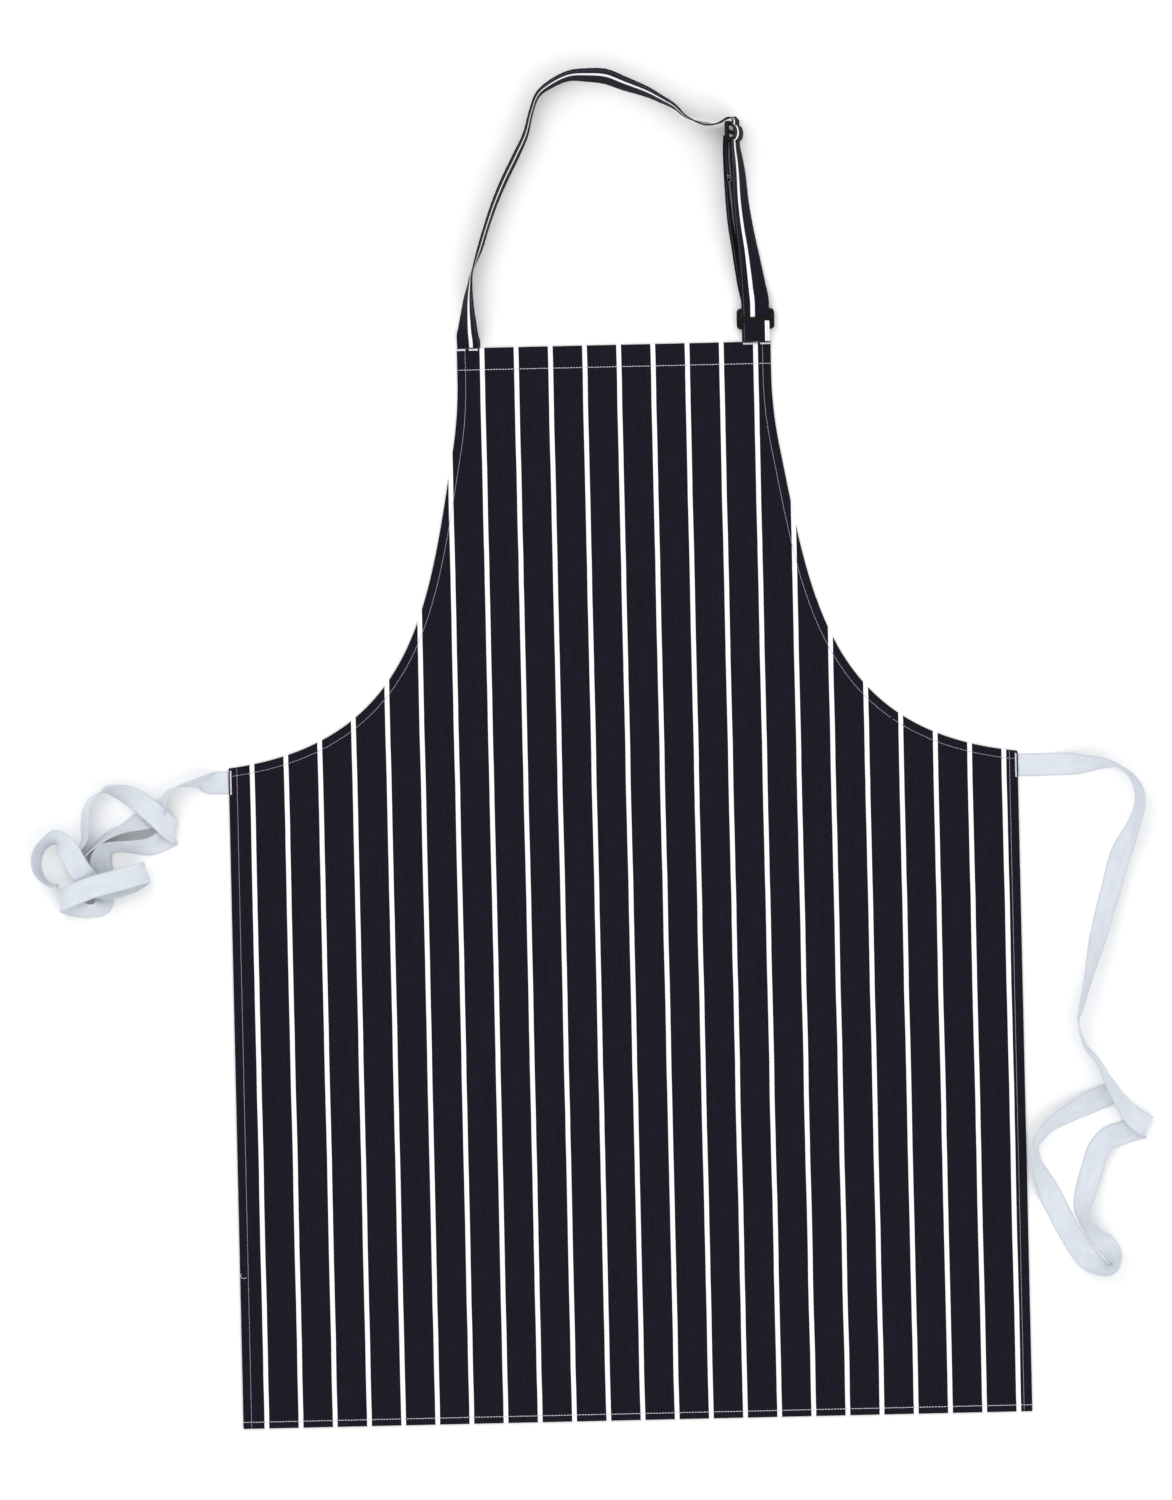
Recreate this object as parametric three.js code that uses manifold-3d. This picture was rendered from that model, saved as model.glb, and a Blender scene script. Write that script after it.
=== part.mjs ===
// A butcher's apron lying face up, with its neck strap and its two waist ties as they fall on a table.
// Millimetres, +Z up. The origin is on the back of the cloth, in the middle of the line between the
// two waist corners: +Y runs to the neck and +X to the apron's right-hand side as it lies.
import * as THREE from "three";
import { mergeVertices } from "three/addons/utils/BufferGeometryUtils.js";
import Module from "manifold-3d";

const wasm = await Module();
wasm.setup();

// ---- driving dimensions ----
const skirtWidth = 719; // hem to hem below the waist
const skirtLength = 602; // lower edge to the waist corners
const bibWidth = 286; // at the neck edge
const bibLength = 378; // waist corners to the neck edge
const armholeDepth = bibLength - 64; // how far above the waist corners the armhole's curve starts
const foldHeight = 38; // the bib folds down along this line above the waist corners

const clothThickness = 0.6;
const hemThickness = 1.2; // the cloth folded under along an edge
const topHem = 22;
const bottomHem = 8;
const sideHem = 9.5;
const armholeHem = 9.5;
const stitchFromFold = 2; // a hem's stitch row lies this far inside the hem's inner fold
const threadWidth = 0.8;
const threadThickness = 0.4;

const strapWidth = 25;
const strapThickness = 1.2;
const tapeWidth = 20; // the waist ties
const tapeThickness = 1.0;
const tieSteps = 170; // cross-sections along a tie
const tieDrop = 13; // the ties' middle below the waist corners
const sewnLength = 8; // how much of a tie is caught inside the side hem
const strapSewnLength = 18; // and of the neck strap inside the neck hem

const buckleHeight = 19;
const buckleThickness = 3;
const buckleBar = 3.6;
const buckleSide = 4.2;
const buckleCorner = 3.5;
const buckleLength = strapWidth + 2 * buckleSide + 0.9; // the strap lies in its slots with some play

const gap = 0.3; // between pieces that touch
const bartackWidth = 2;
const bartackHeight = 0.8;
const bartackInset = 1.8; // its middle inside the edge that it crosses

// ---- derived levels and places ----
const borderBottom = hemThickness + gap; // the panel steps up over its hems
const borderTop = borderBottom + clothThickness;
const halfSkirt = skirtWidth / 2;
const halfBib = bibWidth / 2;
const leftStrapX = -halfBib + 9.6; // middles of the sewn straps
const rightStrapX = halfBib - 13.3;
const onTop = borderTop + gap / 3;
const loopRoom = 1; // free play of a strap loop round a bar
const buckleZ = gap + strapThickness + loopRoom + buckleThickness / 2;
const buckleY = bibLength + 20.6; // middle of the lower buckle, lying flat
const barOffset = (buckleHeight - buckleBar) / 2; // outer bars from the buckle's middle
const slotHeight = (buckleHeight - 3 * buckleBar) / 2;

// ---- colours ----
const navy = new THREE.MeshStandardMaterial({ color: 0x1d1c27, roughness: 0.9 });
const whiteTape = new THREE.MeshStandardMaterial({ color: 0xe4eaf2, roughness: 0.85 });
const threadWhite = new THREE.MeshStandardMaterial({ color: 0xc9c7d8, roughness: 0.7 });
const blackPlastic = new THREE.MeshStandardMaterial({ color: 0x141210, roughness: 0.35 });

const apron = new THREE.Group();
apron.name = "butcher_apron";

function addMesh(name, geometry, material) {
  const mesh = new THREE.Mesh(geometry, material.clone());
  mesh.name = name;
  apron.add(mesh);
  return mesh;
}

// ---- solids and booleans ----
function solidFrom(geometry) {
  const bare = new THREE.BufferGeometry();
  const plain = geometry.index ? geometry.toNonIndexed() : geometry;
  bare.setAttribute("position", plain.getAttribute("position"));
  const merged = mergeVertices(bare, 1e-4);
  return new wasm.Manifold(
    new wasm.Mesh({
      numProp: 3,
      vertProperties: merged.attributes.position.array,
      triVerts: new Uint32Array(merged.index.array),
    }),
  );
}

function geometryFrom(solid) {
  const mesh = solid.getMesh();
  const geometry = new THREE.BufferGeometry();
  geometry.setAttribute("position", new THREE.BufferAttribute(mesh.vertProperties, 3));
  geometry.setIndex(new THREE.BufferAttribute(mesh.triVerts, 1));
  return geometry;
}

function box(x0, x1, y0, y1, z0, z1) {
  const geometry = new THREE.BoxGeometry(x1 - x0, y1 - y0, z1 - z0);
  geometry.translate((x0 + x1) / 2, (y0 + y1) / 2, (z0 + z1) / 2);
  return solidFrom(geometry);
}

// A closed outline of [x, y] points, extruded from z0 to z1.
function plate(points, z0, z1) {
  const shape = new THREE.Shape(points.map(([x, y]) => new THREE.Vector2(x, y)));
  const geometry = new THREE.ExtrudeGeometry(shape, { depth: z1 - z0, bevelEnabled: false });
  geometry.translate(0, 0, z0);
  return solidFrom(geometry);
}

// ---- the apron's outline ----
const armholeSteps = 22;

// The armhole's curve from the bib's straight edge to the waist corner, as [x, y] points.
function armholePoints() {
  const lean = 0.19 * (halfSkirt - halfBib);
  const curve = new THREE.CubicBezierCurve(
    new THREE.Vector2(halfBib, armholeDepth),
    new THREE.Vector2(halfBib + lean * 0.72, armholeDepth * 0.537),
    new THREE.Vector2(halfBib + lean * 0.72, armholeDepth * 0.068),
    new THREE.Vector2(halfSkirt, 0),
  );
  return curve.getPoints(armholeSteps).map((p) => [p.x, p.y]);
}

// Edges anticlockwise: each entry is the edge's first point and which edge it is.
function outlineEdges() {
  const curve = armholePoints().reverse();
  const rising = curve.map(([x, y]) => ({ x, y, edge: "armhole" }));
  const falling = [...curve].reverse().map(([x, y]) => ({ x: -x, y, edge: "armhole" }));
  falling[falling.length - 1].edge = "side";
  return [
    { x: halfSkirt, y: -skirtLength, edge: "side" },
    ...rising,
    { x: halfBib, y: bibLength, edge: "top" },
    { x: -halfBib, y: bibLength, edge: "armhole" },
    ...falling,
    { x: -halfSkirt, y: -skirtLength, edge: "bottom" },
  ];
}

// The outline with each edge moved inwards by inset[edge], as [x, y] points.
function insetOutline(inset) {
  const edges = outlineEdges();
  const count = edges.length;
  const lines = edges.map((from, i) => {
    const to = edges[(i + 1) % count];
    const length = Math.hypot(to.x - from.x, to.y - from.y);
    const dx = (to.x - from.x) / length;
    const dy = (to.y - from.y) / length;
    const depth = inset[from.edge] ?? 0;
    return { x: from.x - dy * depth, y: from.y + dx * depth, dx, dy };
  });
  return lines.map((line, i) => {
    const before = lines[(i + count - 1) % count];
    const cross = before.dx * line.dy - before.dy * line.dx;
    if (Math.abs(cross) < 1e-6) return [line.x, line.y];
    const along = ((line.x - before.x) * line.dy - (line.y - before.y) * line.dx) / cross;
    return [before.x + before.dx * along, before.y + before.dy * along];
  });
}

// ---- panels ----
const hems = { top: topHem, bottom: bottomHem, side: sideHem, armhole: armholeHem };
const deeper = (by) => Object.fromEntries(Object.entries(hems).map(([k, v]) => [k, v + by]));

function wholePanel() {
  const body = plate(insetOutline({}), 0, borderTop);
  const underBorder = plate(insetOutline({}), -1, borderBottom).subtract(
    plate(insetOutline(deeper(gap)), -2, borderTop),
  );
  const middle = insetOutline(deeper(gap + clothThickness));
  const overMiddle = plate(middle, clothThickness, borderTop + 1);
  return body.subtract(underBorder).subtract(overMiddle);
}

const far = 2 * (skirtWidth + skirtLength + bibLength); // past every edge of the apron
const aboveFold = box(-far, far, foldHeight + gap / 2, far, -far, far);
const belowFold = box(-far, far, -far, foldHeight - gap / 2, -far, far);
const leftHalf = box(-far, 0, -far, far, -far, far);
const rightHalf = box(0, far, -far, far, -far, far);

const panel = wholePanel();
addMesh("skirt_panel", geometryFrom(panel.intersect(belowFold)), navy);
addMesh("bib_panel", geometryFrom(panel.intersect(aboveFold)), navy);

// ---- hems and their stitch rows ----
// A strip along one kind of edge, from depth a to depth b inside it, clear of the edges in clearOf.
function edgeStrip(edge, a, b, clearOf, z0, z1) {
  const outer = insetOutline({ ...clearOf, [edge]: a });
  const inner = insetOutline({ [edge]: b });
  return plate(outer, z0, z1).subtract(plate(inner, z0 - 1, z1 + 1));
}

// The sewn-in end of a strap or a tie lies in a notch of the hem, open at the edge of the cloth.
const clear = 2;
const throughHem = [-clear, hemThickness + clear];
const neckNotches = [leftStrapX, rightStrapX].map((x) => {
  const half = strapWidth / 2 + gap;
  return box(x - half, x + half, bibLength - strapSewnLength - gap, bibLength + clear, ...throughHem);
});
const tieNotches = [-1, 1].map((side) => {
  const ends = [side * (halfSkirt - sewnLength - gap), side * (halfSkirt + clear)];
  const half = tapeWidth / 2 + gap;
  return box(Math.min(...ends), Math.max(...ends), -tieDrop - half, -tieDrop + half, ...throughHem);
});

const notched = (solid, notches) => notches.reduce((left, cut) => left.subtract(cut), solid);

// Adds a strip along both armholes, cut where the bib folds, and a strip along both sides.
function addSides(kind, armhole, side, material) {
  for (const [name, half] of [["left", leftHalf], ["right", rightHalf]]) {
    const edge = armhole.intersect(half);
    addMesh(kind + "_armhole_bib_" + name, geometryFrom(edge.intersect(aboveFold)), material);
    addMesh(kind + "_armhole_skirt_" + name, geometryFrom(edge.intersect(belowFold)), material);
    addMesh(kind + "_side_" + name, geometryFrom(side.intersect(half)), material);
  }
}

function addHems() {
  const neckHem = notched(edgeStrip("top", 0, topHem, {}, 0, hemThickness), neckNotches);
  addMesh("hem_neck_edge", geometryFrom(neckHem), navy);
  const lowerHem = edgeStrip("bottom", 0, bottomHem, {}, 0, hemThickness);
  addMesh("hem_lower_edge", geometryFrom(lowerHem), navy);
  const armholeClear = { top: topHem + gap };
  const sideClear = { bottom: bottomHem + gap, armhole: armholeHem + gap };
  const armholeStrip = edgeStrip("armhole", 0, armholeHem, armholeClear, 0, hemThickness);
  const armhole = notched(armholeStrip, tieNotches);
  const side = notched(edgeStrip("side", 0, sideHem, sideClear, 0, hemThickness), tieNotches);
  addSides("hem", armhole, side, navy);
}

function addStitchRows() {
  const rowAt = (edge) => hems[edge] - stitchFromFold;
  const top = onTop + threadThickness;
  const row = (edge, clearOf) =>
    edgeStrip(edge, rowAt(edge), rowAt(edge) + threadWidth, clearOf, onTop, top);
  const after = (edge) => rowAt(edge) + threadWidth + gap;
  addMesh("stitch_neck_edge", geometryFrom(row("top", { armhole: gap })), threadWhite);
  addMesh("stitch_lower_edge", geometryFrom(row("bottom", { side: gap })), threadWhite);
  const pastBartack = bartackInset + bartackWidth / 2 + gap;
  const armhole = row("armhole", { top: after("top"), side: pastBartack });
  const side = row("side", { bottom: after("bottom"), armhole: after("armhole") });
  addSides("stitch", armhole, side, threadWhite);
}

addHems();
addStitchRows();

// ---- ribbons: straps and ties ----
// A station is [x, y, lift, azimuth, tilt]: the ribbon's middle, how far its lower edge is above the
// table, and the direction of its width, as a heading in the XY plane and a rise out of it, in degrees.
function widthDirection([, , , azimuth, tilt]) {
  const a = THREE.MathUtils.degToRad(azimuth);
  const t = THREE.MathUtils.degToRad(tilt);
  return new THREE.Vector3(Math.cos(t) * Math.cos(a), Math.cos(t) * Math.sin(a), Math.sin(t));
}

// A long flat solid along the stations. The route's points are joined smoothly, and each cross-section
// stands square to it.
function ribbon(stations, width, thickness, steps) {
  const route = new THREE.CatmullRomCurve3(
    stations.map(([x, y, lift]) => new THREE.Vector3(x, y, lift)),
    false,
    "centripetal",
  );
  route.arcLengthDivisions = 12 * stations.length;
  const widths = new THREE.CatmullRomCurve3(stations.map(widthDirection), false, "catmullrom", 0.5);
  const middles = [];
  const across = [];
  for (let i = 0; i <= steps; i++) {
    const along = route.getUtoTmapping(i / steps);
    const direction = widths.getPoint(along).normalize();
    const point = route.getPoint(along);
    const flatness = Math.sqrt(1 - direction.z * direction.z);
    point.z += (width / 2) * Math.abs(direction.z) + (thickness / 2) * flatness;
    middles.push(point);
    across.push(direction);
  }
  const positions = [];
  for (let i = 0; i <= steps; i++) {
    const tangent = middles[Math.min(i + 1, steps)].clone().sub(middles[Math.max(i - 1, 0)]).normalize();
    across[i].addScaledVector(tangent, -across[i].dot(tangent)).normalize();
    const up = new THREE.Vector3().crossVectors(across[i], tangent);
    const reach = (width / 2) * Math.abs(across[i].z) + (thickness / 2) * Math.abs(up.z);
    middles[i].z = Math.max(middles[i].z, reach);
    for (const [side, face] of [[-1, -1], [1, -1], [1, 1], [-1, 1]]) {
      const corner = middles[i].clone();
      corner.addScaledVector(across[i], (side * width) / 2);
      corner.addScaledVector(up, (face * thickness) / 2);
      positions.push(corner.x, corner.y, corner.z);
    }
  }
  return tubeGeometry(positions, steps);
}

// Joins the rings of four corners along a ribbon and closes both ends. The two wide faces are split
// along the same diagonals, so a twisted length keeps its thickness.
function tubeGeometry(positions, steps) {
  const index = [];
  for (let i = 0; i < steps; i++) {
    for (let k = 0; k < 4; k++) {
      const a = 4 * i + k;
      const b = 4 * i + ((k + 1) % 4);
      if (k < 2) index.push(a, a + 4, b, b, a + 4, b + 4);
      else index.push(a, a + 4, b + 4, a, b + 4, b);
    }
  }
  const end = 4 * steps;
  index.push(0, 1, 2, 0, 2, 3, end, end + 2, end + 1, end, end + 3, end + 2);
  const geometry = new THREE.BufferGeometry();
  geometry.setAttribute("position", new THREE.Float32BufferAttribute(positions, 3));
  geometry.setIndex(index);
  return geometry;
}

// ---- waist ties ----
// Both start at the side edges, run out flat and then fall in loose loops, chosen by hand. Stations
// are measured from where the tie leaves the side edge, outwards and upwards.
const leftTieRoute = [
  [0, 0, 0.3, 90, 0], [-13, 0, 0.3, 90, 12], [-25, 1, 0.3, 88, 58], [-34, 0, 0.3, 86, 76],
  [-44, -2, 0.3, 90, 88], [-53, -7, 0.3, -45, 77], [-59, -15, 0.3, -40, 68],
  [-65, -24, 0.3, -35, 38], [-72, -30, 1, -50, 16], [-82, -34, 0.3, -65, 38],
  [-95, -39, 0.3, -68, 66], [-108, -44, 0.3, -60, 70], [-118, -51, 0.3, -50, 76],
  [-127, -59, 0.3, -45, 85], [-134, -68, 0.3, -45, 89], [-139, -73, 0.3, 0, 89],
  [-142, -68, 0.3, 0, 86], [-138, -60, 0.3, 0, 80], [-132, -49, 0.3, 0, 72],
  [-131, -35, 0.3, 0, 66], [-129, -22, 0.6, -5, 66], [-124, -12, 0.3, -30, 76],
  [-117, -7, 0.6, -60, 88], [-110, -4, 1.2, 90, 70], [-100, -6, 3.7, 85, 48],
  [-87, -11, 8.8, 70, 25], [-75, -20, 13, 55, 8], [-64, -30, 13, 52, 0], [-56, -38, 11.5, 60, 0],
  [-51.5, -42.5, 8.5, 71, 0], [-50, -44, 5, 77, 0], [-51.5, -45.5, 1.6, 84, 0],
  [-58, -49.5, 0.6, 97, 10], [-72, -56, 0.3, 100, 38], [-90, -56, 0.9, 90, 58],
  [-104, -56, 0.3, 95, 62], [-114, -59, 0.6, 125, 47], [-118, -68, 0.3, 155, 25],
  [-117, -79, 0.3, 178, 6], [-117, -91, 0.3, 180, 0], [-116.5, -103, 0.3, 172, 10],
  [-119.5, -111, 0.3, 125, 42], [-128, -113.5, 0.3, 85, 54], [-139, -110.5, 0.8, 74, 32],
  [-148, -107, 2.5, 75, 12], [-153, -104.5, 6.5, 84, 0], [-153, -103.5, 13.5, 90, 0],
  [-147, -100.5, 19, 97, 0], [-128, -93, 22.3, 104, 0], [-109, -88, 23, 104, 0],
  [-91, -83.5, 21.5, 105, 0], [-80, -80.5, 18, 106, 0], [-75.5, -79.5, 13, 107, 0],
  [-78, -81, 8.6, 108, -4], [-87, -87, 6, 108, -10], [-104, -93, 8.5, 102, -10],
  [-118, -92.5, 12.8, 88, -4], [-128, -86.5, 15.5, 62, -2], [-134, -79, 18.7, 34, 0],
  [-140, -69, 22.7, 28, 0], [-146, -58, 21.3, 32, 4], [-153, -50.5, 13.8, 50, 26],
  [-159, -48, 5.7, 84, 48], [-166, -50, 1.8, 125, 64], [-173, -57, 1.2, 152, 66],
  [-176, -67, 1.1, 180, 66], [-175, -77, 0.3, 200, 72], [-170, -85, 0.3, 225, 80],
  [-163, -90, 0.3, 250, 84], [-157, -90, 0.3, 260, 84],
];
const rightTieRoute = [
  [0, 0, 0.3, 90, 0], [24, 0, 0.3, 89, 0], [47, 0, 0.3, 90, 12], [60, 0, 0.3, 90, 38],
  [78, 0, 0.3, 85, 64], [93, -4, 0.3, 60, 86], [104, -14, 0.3, 45, 80], [109, -25, 0.3, 15, 70],
  [110, -36, 0.3, 0, 67], [104, -56, 0.3, -15, 58], [91, -84, 0.3, -20, 30],
  [82, -114, 0.3, -17, 33], [70, -155, 0.3, -19, 43], [60, -192, 0.3, -20, 71],
  [52, -222, 0.8, -20, 84], [49, -234, 1, 180, 88], [55, -257, 1.6, 195, 78],
  [66, -271, 2.4, 210, 76], [76, -291, 4, 212, 64], [90, -314, 5.4, 219, 42],
  [100, -325, 7.2, 224, 16], [107, -330, 8, 234, 0], [110.5, -331.5, 4.6, 241, 0],
  [107.5, -332.5, 1.3, 248, 0], [98, -334.5, 0.6, 260, 0], [86, -338, 0.8, 266, 0],
  [74, -342, 0.3, 285, 14], [65, -352, 0.3, 320, 18], [59, -370, 0.3, 342, 14],
  [52, -392, 0.3, 345, 26], [49, -407, 0.3, 0, 50], [53, -421, 0.3, 25, 64],
  [61, -430, 0.9, 42, 46], [70, -438, 1.3, 42, 28], [77, -449, 0.9, 18, 46],
  [77.5, -458, 0.8, -22, 72], [71, -462, 0.3, -66, 64], [61, -457.5, 0.3, -106, 36],
  [51, -448, 0.8, -128, 10], [37, -426, 0.3, -147, 0], [22, -395, 0.3, -152, 4],
  [13, -376, 0.3, -158, 38], [8, -362, 0.3, -172, 60], [7, -348, 0.3, 175, 68],
  [13, -337, 0.3, 150, 60], [23, -327, 0.3, 132, 50], [39, -318, 0.3, 116, 34],
  [56, -310, 0.3, 114, 16], [70, -304, 0.3, 112, 4], [78.5, -300.5, 0.3, 112, 0],
];

function addTies() {
  const sides = [["left", -1, leftTieRoute], ["right", 1, rightTieRoute]];
  for (const [name, side, route] of sides) {
    const startX = side * (halfSkirt + gap);
    const stations = route.map(([x, y, ...rest]) => [startX + x, y - tieDrop, ...rest]);
    addMesh("tie_" + name, ribbon(stations, tapeWidth, tapeThickness, tieSteps), whiteTape);
    const inner = halfSkirt - sewnLength;
    const edges = [side * inner, side * (halfSkirt - gap / 3)].sort((a, b) => a - b);
    const low = hemThickness - tapeThickness;
    addMesh(
      "tie_sewn_end_" + name,
      geometryFrom(
        box(...edges, -tieDrop - tapeWidth / 2, -tieDrop + tapeWidth / 2, low, hemThickness),
      ),
      whiteTape,
    );
  }
}

addTies();

// ---- neck strap ----
// The long run, from the neck edge at the left, round the arc, to the slider at the right. Stations
// are measured from where the strap leaves the neck edge.
const neckRoute = [
  [0, 0, 0.3, 0, 0], [0, 2, 0.3, 0, 0], [0.1, 7, 0.3, 0, 16], [0.5, 13, 0.3, 0, 37],
  [1.2, 23, 0.3, 0, 52], [1.6, 34, 0.3, 0, 63], [2.3, 45, 0.3, 0, 71], [3.8, 56, 0.3, -5, 80],
  [5.6, 67, 0.3, -15, 86], [13.3, 88, 0.3, 160, 83], [20.2, 109, 0.3, 160, 82],
  [27.5, 129, 0.3, 156, 81], [36.8, 150, 0.3, 153, 80], [47.5, 171, 0.3, 153, 80],
  [57.6, 192, 0.3, 160, 82], [63, 212, 0.3, 160, 84], [69.5, 228, 0.3, 140, 84],
  [80, 236.5, 0.3, 115, 80], [98, 244.5, 0.3, 98, 75], [115, 245, 0.3, 85, 68],
  [131.5, 243.3, 0.3, 75, 64], [148, 236.7, 0.3, 66, 67], [168.7, 228.5, 0.3, 66, 75],
  [181, 222, 0.3, 60, 81], [193.5, 214.6, 1.2, 50, 86], [204, 205, 2.4, 235, 88],
  [220, 198, 4.1, 250, 80], [229, 197, 4.8, 265, 84], [235.5, 199, 5.3, 285, 88],
  [241, 202.2, 5.6, 280, 88], [245, 202.6, 5.7, 250, 84], [247.4, 201.2, 5.8, 205, 74],
  [247.8, 199.7, 5.8, 180, 70], [247.8, 197.9, 5.8, 180, 70],
];

const passY = bibLength + 189.5; // middle of the strap's pass over the slider
const sliderX = rightStrapX - 17.7;
const sliderY = passY + (19 - buckleHeight) / 2; // its upper edge stays below the strap's turn
const sliderLean = THREE.MathUtils.degToRad(70); // its long side stands up this far
const sliderHalf = [buckleLength / 2, buckleThickness / 2];
const sliderZ = gap + sliderHalf[0] * Math.sin(sliderLean) + sliderHalf[1] * Math.cos(sliderLean);
// From below the slider down to the lower buckle, the layer that shows. This route and the next two
// are measured from the neck edge at the middle of the buckle's tab.
const frontRoute = [
  [-15.3, 181.1, 5.8, 180, 70], [-15.3, 179, 5.8, 180, 70], [-15, 174, 5, 180, 69],
  [-13.8, 165, 3.5, 180, 65], [-12.7, 152, 2.3, 180, 60], [-11.5, 129, 0.3, 180, 54],
  [-9.1, 106, 0.9, 180, 48], [-5.7, 83, 1.6, 180, 42], [-3.1, 62, 2.2, 180, 30],
  [-1.5, 48, 3.9, 180, 18], [-0.3, 39, 6.2, 180, 5], [0, 34.2, 6.5, 180, 0],
  [0, 32.1, 6.5, 180, 0],
];
// The layer that comes back under it, up to the slider's middle bar.
const returnRoute = [
  [0, 32.1, 0.3, 180, 0], [0, 34.2, 0.3, 180, 0], [-0.5, 40, 0.3, 180, 3],
  [-3.1, 50, 0.3, 180, 14], [-6.1, 62, 0.3, 180, 26], [-10.9, 83, 0.3, 180, 41],
  [-15.8, 106, 0.3, 180, 52], [-18.9, 129, 0.9, 180, 60], [-21.1, 150, 1.6, 180, 67],
  [-22.1, 166, 2.8, 180, 70], [-22, 177, 3.5, 180, 70], [-21.4, 186, 3.65, 180, 70],
];
// The strap's end, brought round the slider's middle bar and sewn down on the returning layer.
const tailRoute = [
  [-19.9, 186, 4.2, 180, 70], [-20.5, 177, 4.05, 180, 70], [-20.6, 166, 3.35, 180, 70],
  [-19.8, 152, 2.4, 180, 68], [-19.4, 145.5, 2.1, 180, 66],
];

function addNeckStrap() {
  const placed = (route) => route.map(([x, y, ...rest]) => [rightStrapX + x, bibLength + y, ...rest]);
  const startY = bibLength + gap;
  // The last part, round the slider, keeps its shape, and the arc before it stretches to meet it.
  const [routeEnd] = neckRoute[neckRoute.length - 1];
  const shift = sliderX + 2.4 - leftStrapX - routeEnd;
  const bend = 229;
  const acrossArc = (x) => (x < bend ? (x * (bend + shift)) / bend : x + shift);
  const neck = neckRoute.map(([x, y, ...rest]) => [leftStrapX + acrossArc(x), startY + y, ...rest]);
  addMesh("neck_strap_long_run", ribbon(neck, strapWidth, strapThickness, 130), navy);
  addMesh("neck_strap_front_run", ribbon(placed(frontRoute), strapWidth, strapThickness, 44), navy);
  addMesh("neck_strap_return_run", ribbon(placed(returnRoute), strapWidth, strapThickness, 44), navy);
  addMesh("neck_strap_tail", ribbon(placed(tailRoute), strapWidth, strapThickness, 10), navy);
  for (const [name, x] of [["neck_strap_sewn_end", leftStrapX], ["buckle_tab_sewn_end", rightStrapX]]) {
    const left = Math.max(x - strapWidth / 2, -halfBib + gap); // nothing shows past the bib's edges
    const right = Math.min(x + strapWidth / 2, halfBib - gap);
    const low = bibLength - strapSewnLength;
    addMesh(name, geometryFrom(box(left, right, low, bibLength - gap / 3, 0, strapThickness)), navy);
  }
}

// A loop of strap round one bar of the flat buckle: in over it, through the slot and back under it.
// outwards is +1 when the strap leaves towards the neck and -1 when it leaves towards the bib.
function barLoop(outwards, length) {
  const barY = buckleY + outwards * barOffset;
  const rise = buckleThickness / 2 + loopRoom + strapThickness / 2;
  const deep = buckleBar / 2 + loopRoom * 0.7 + strapThickness / 2;
  const middle = buckleZ - strapThickness / 2;
  const stations = [[rightStrapX, barY + outwards * length, middle + rise, 180, 0]];
  const turns = 8;
  for (let i = 0; i <= turns; i++) {
    const angle = (Math.PI * i) / turns;
    const y = barY - outwards * deep * Math.sin(angle);
    stations.push([rightStrapX, y, middle + rise * Math.cos(angle), 180, 0]);
  }
  stations.push([rightStrapX, barY + outwards * length, middle - rise, 180, 0]);
  return ribbon(stations, strapWidth, strapThickness, 30);
}

addNeckStrap();
const tabLength = buckleY - barOffset - bibLength - gap;
addMesh("buckle_tab", barLoop(-1, tabLength), navy);
addMesh("neck_strap_buckle_loop", barLoop(1, 3.2), navy);

// ---- buckles ----
// A three-bar buckle in the XY plane round the origin, its long side along X.
function buckle() {
  const x = buckleLength / 2;
  const y = buckleHeight / 2;
  const c = buckleCorner;
  const outline = [
    [x, -y + c], [x, y - c], [x - c, y], [-x + c, y], [-x, y - c], [-x, -y + c], [-x + c, -y], [x - c, -y],
  ];
  let body = plate(outline, -buckleThickness / 2, buckleThickness / 2);
  const slotX = x - buckleSide;
  for (const side of [-1, 1]) {
    const low = side * (buckleBar / 2);
    const high = side * (buckleBar / 2 + slotHeight);
    body = body.subtract(box(-slotX, slotX, Math.min(low, high), Math.max(low, high), -5, 5));
  }
  return geometryFrom(body);
}

addMesh("lower_buckle", buckle(), blackPlastic).position.set(rightStrapX, buckleY, buckleZ);
const slider = addMesh("strap_slider", buckle(), blackPlastic);
slider.position.set(sliderX, sliderY, sliderZ);
slider.rotation.y = sliderLean;

// The strap where it passes over the slider's middle bar, bulging to the right.
function addSliderPass() {
  const lean = THREE.MathUtils.radToDeg(sliderLean);
  const right = new THREE.Vector3(Math.sin(sliderLean), 0, Math.cos(sliderLean));
  const clear = buckleThickness / 2 + gap + strapThickness / 2;
  const edgeDrop = (strapWidth / 2) * Math.sin(sliderLean) + (strapThickness / 2) * Math.cos(sliderLean);
  const bulge = 2.2;
  const half = 6.4;
  const stations = [];
  for (let i = 0; i <= 6; i++) {
    const angle = (Math.PI * i) / 6;
    const out = clear + bulge * Math.sin(angle);
    stations.push([
      sliderX + right.x * out,
      passY + half * Math.cos(angle),
      sliderZ + right.z * out - edgeDrop,
      180,
      lean,
    ]);
  }
  addMesh("neck_strap_slider_pass", ribbon(stations, strapWidth, strapThickness, 12), navy);
}

addSliderPass();

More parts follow.
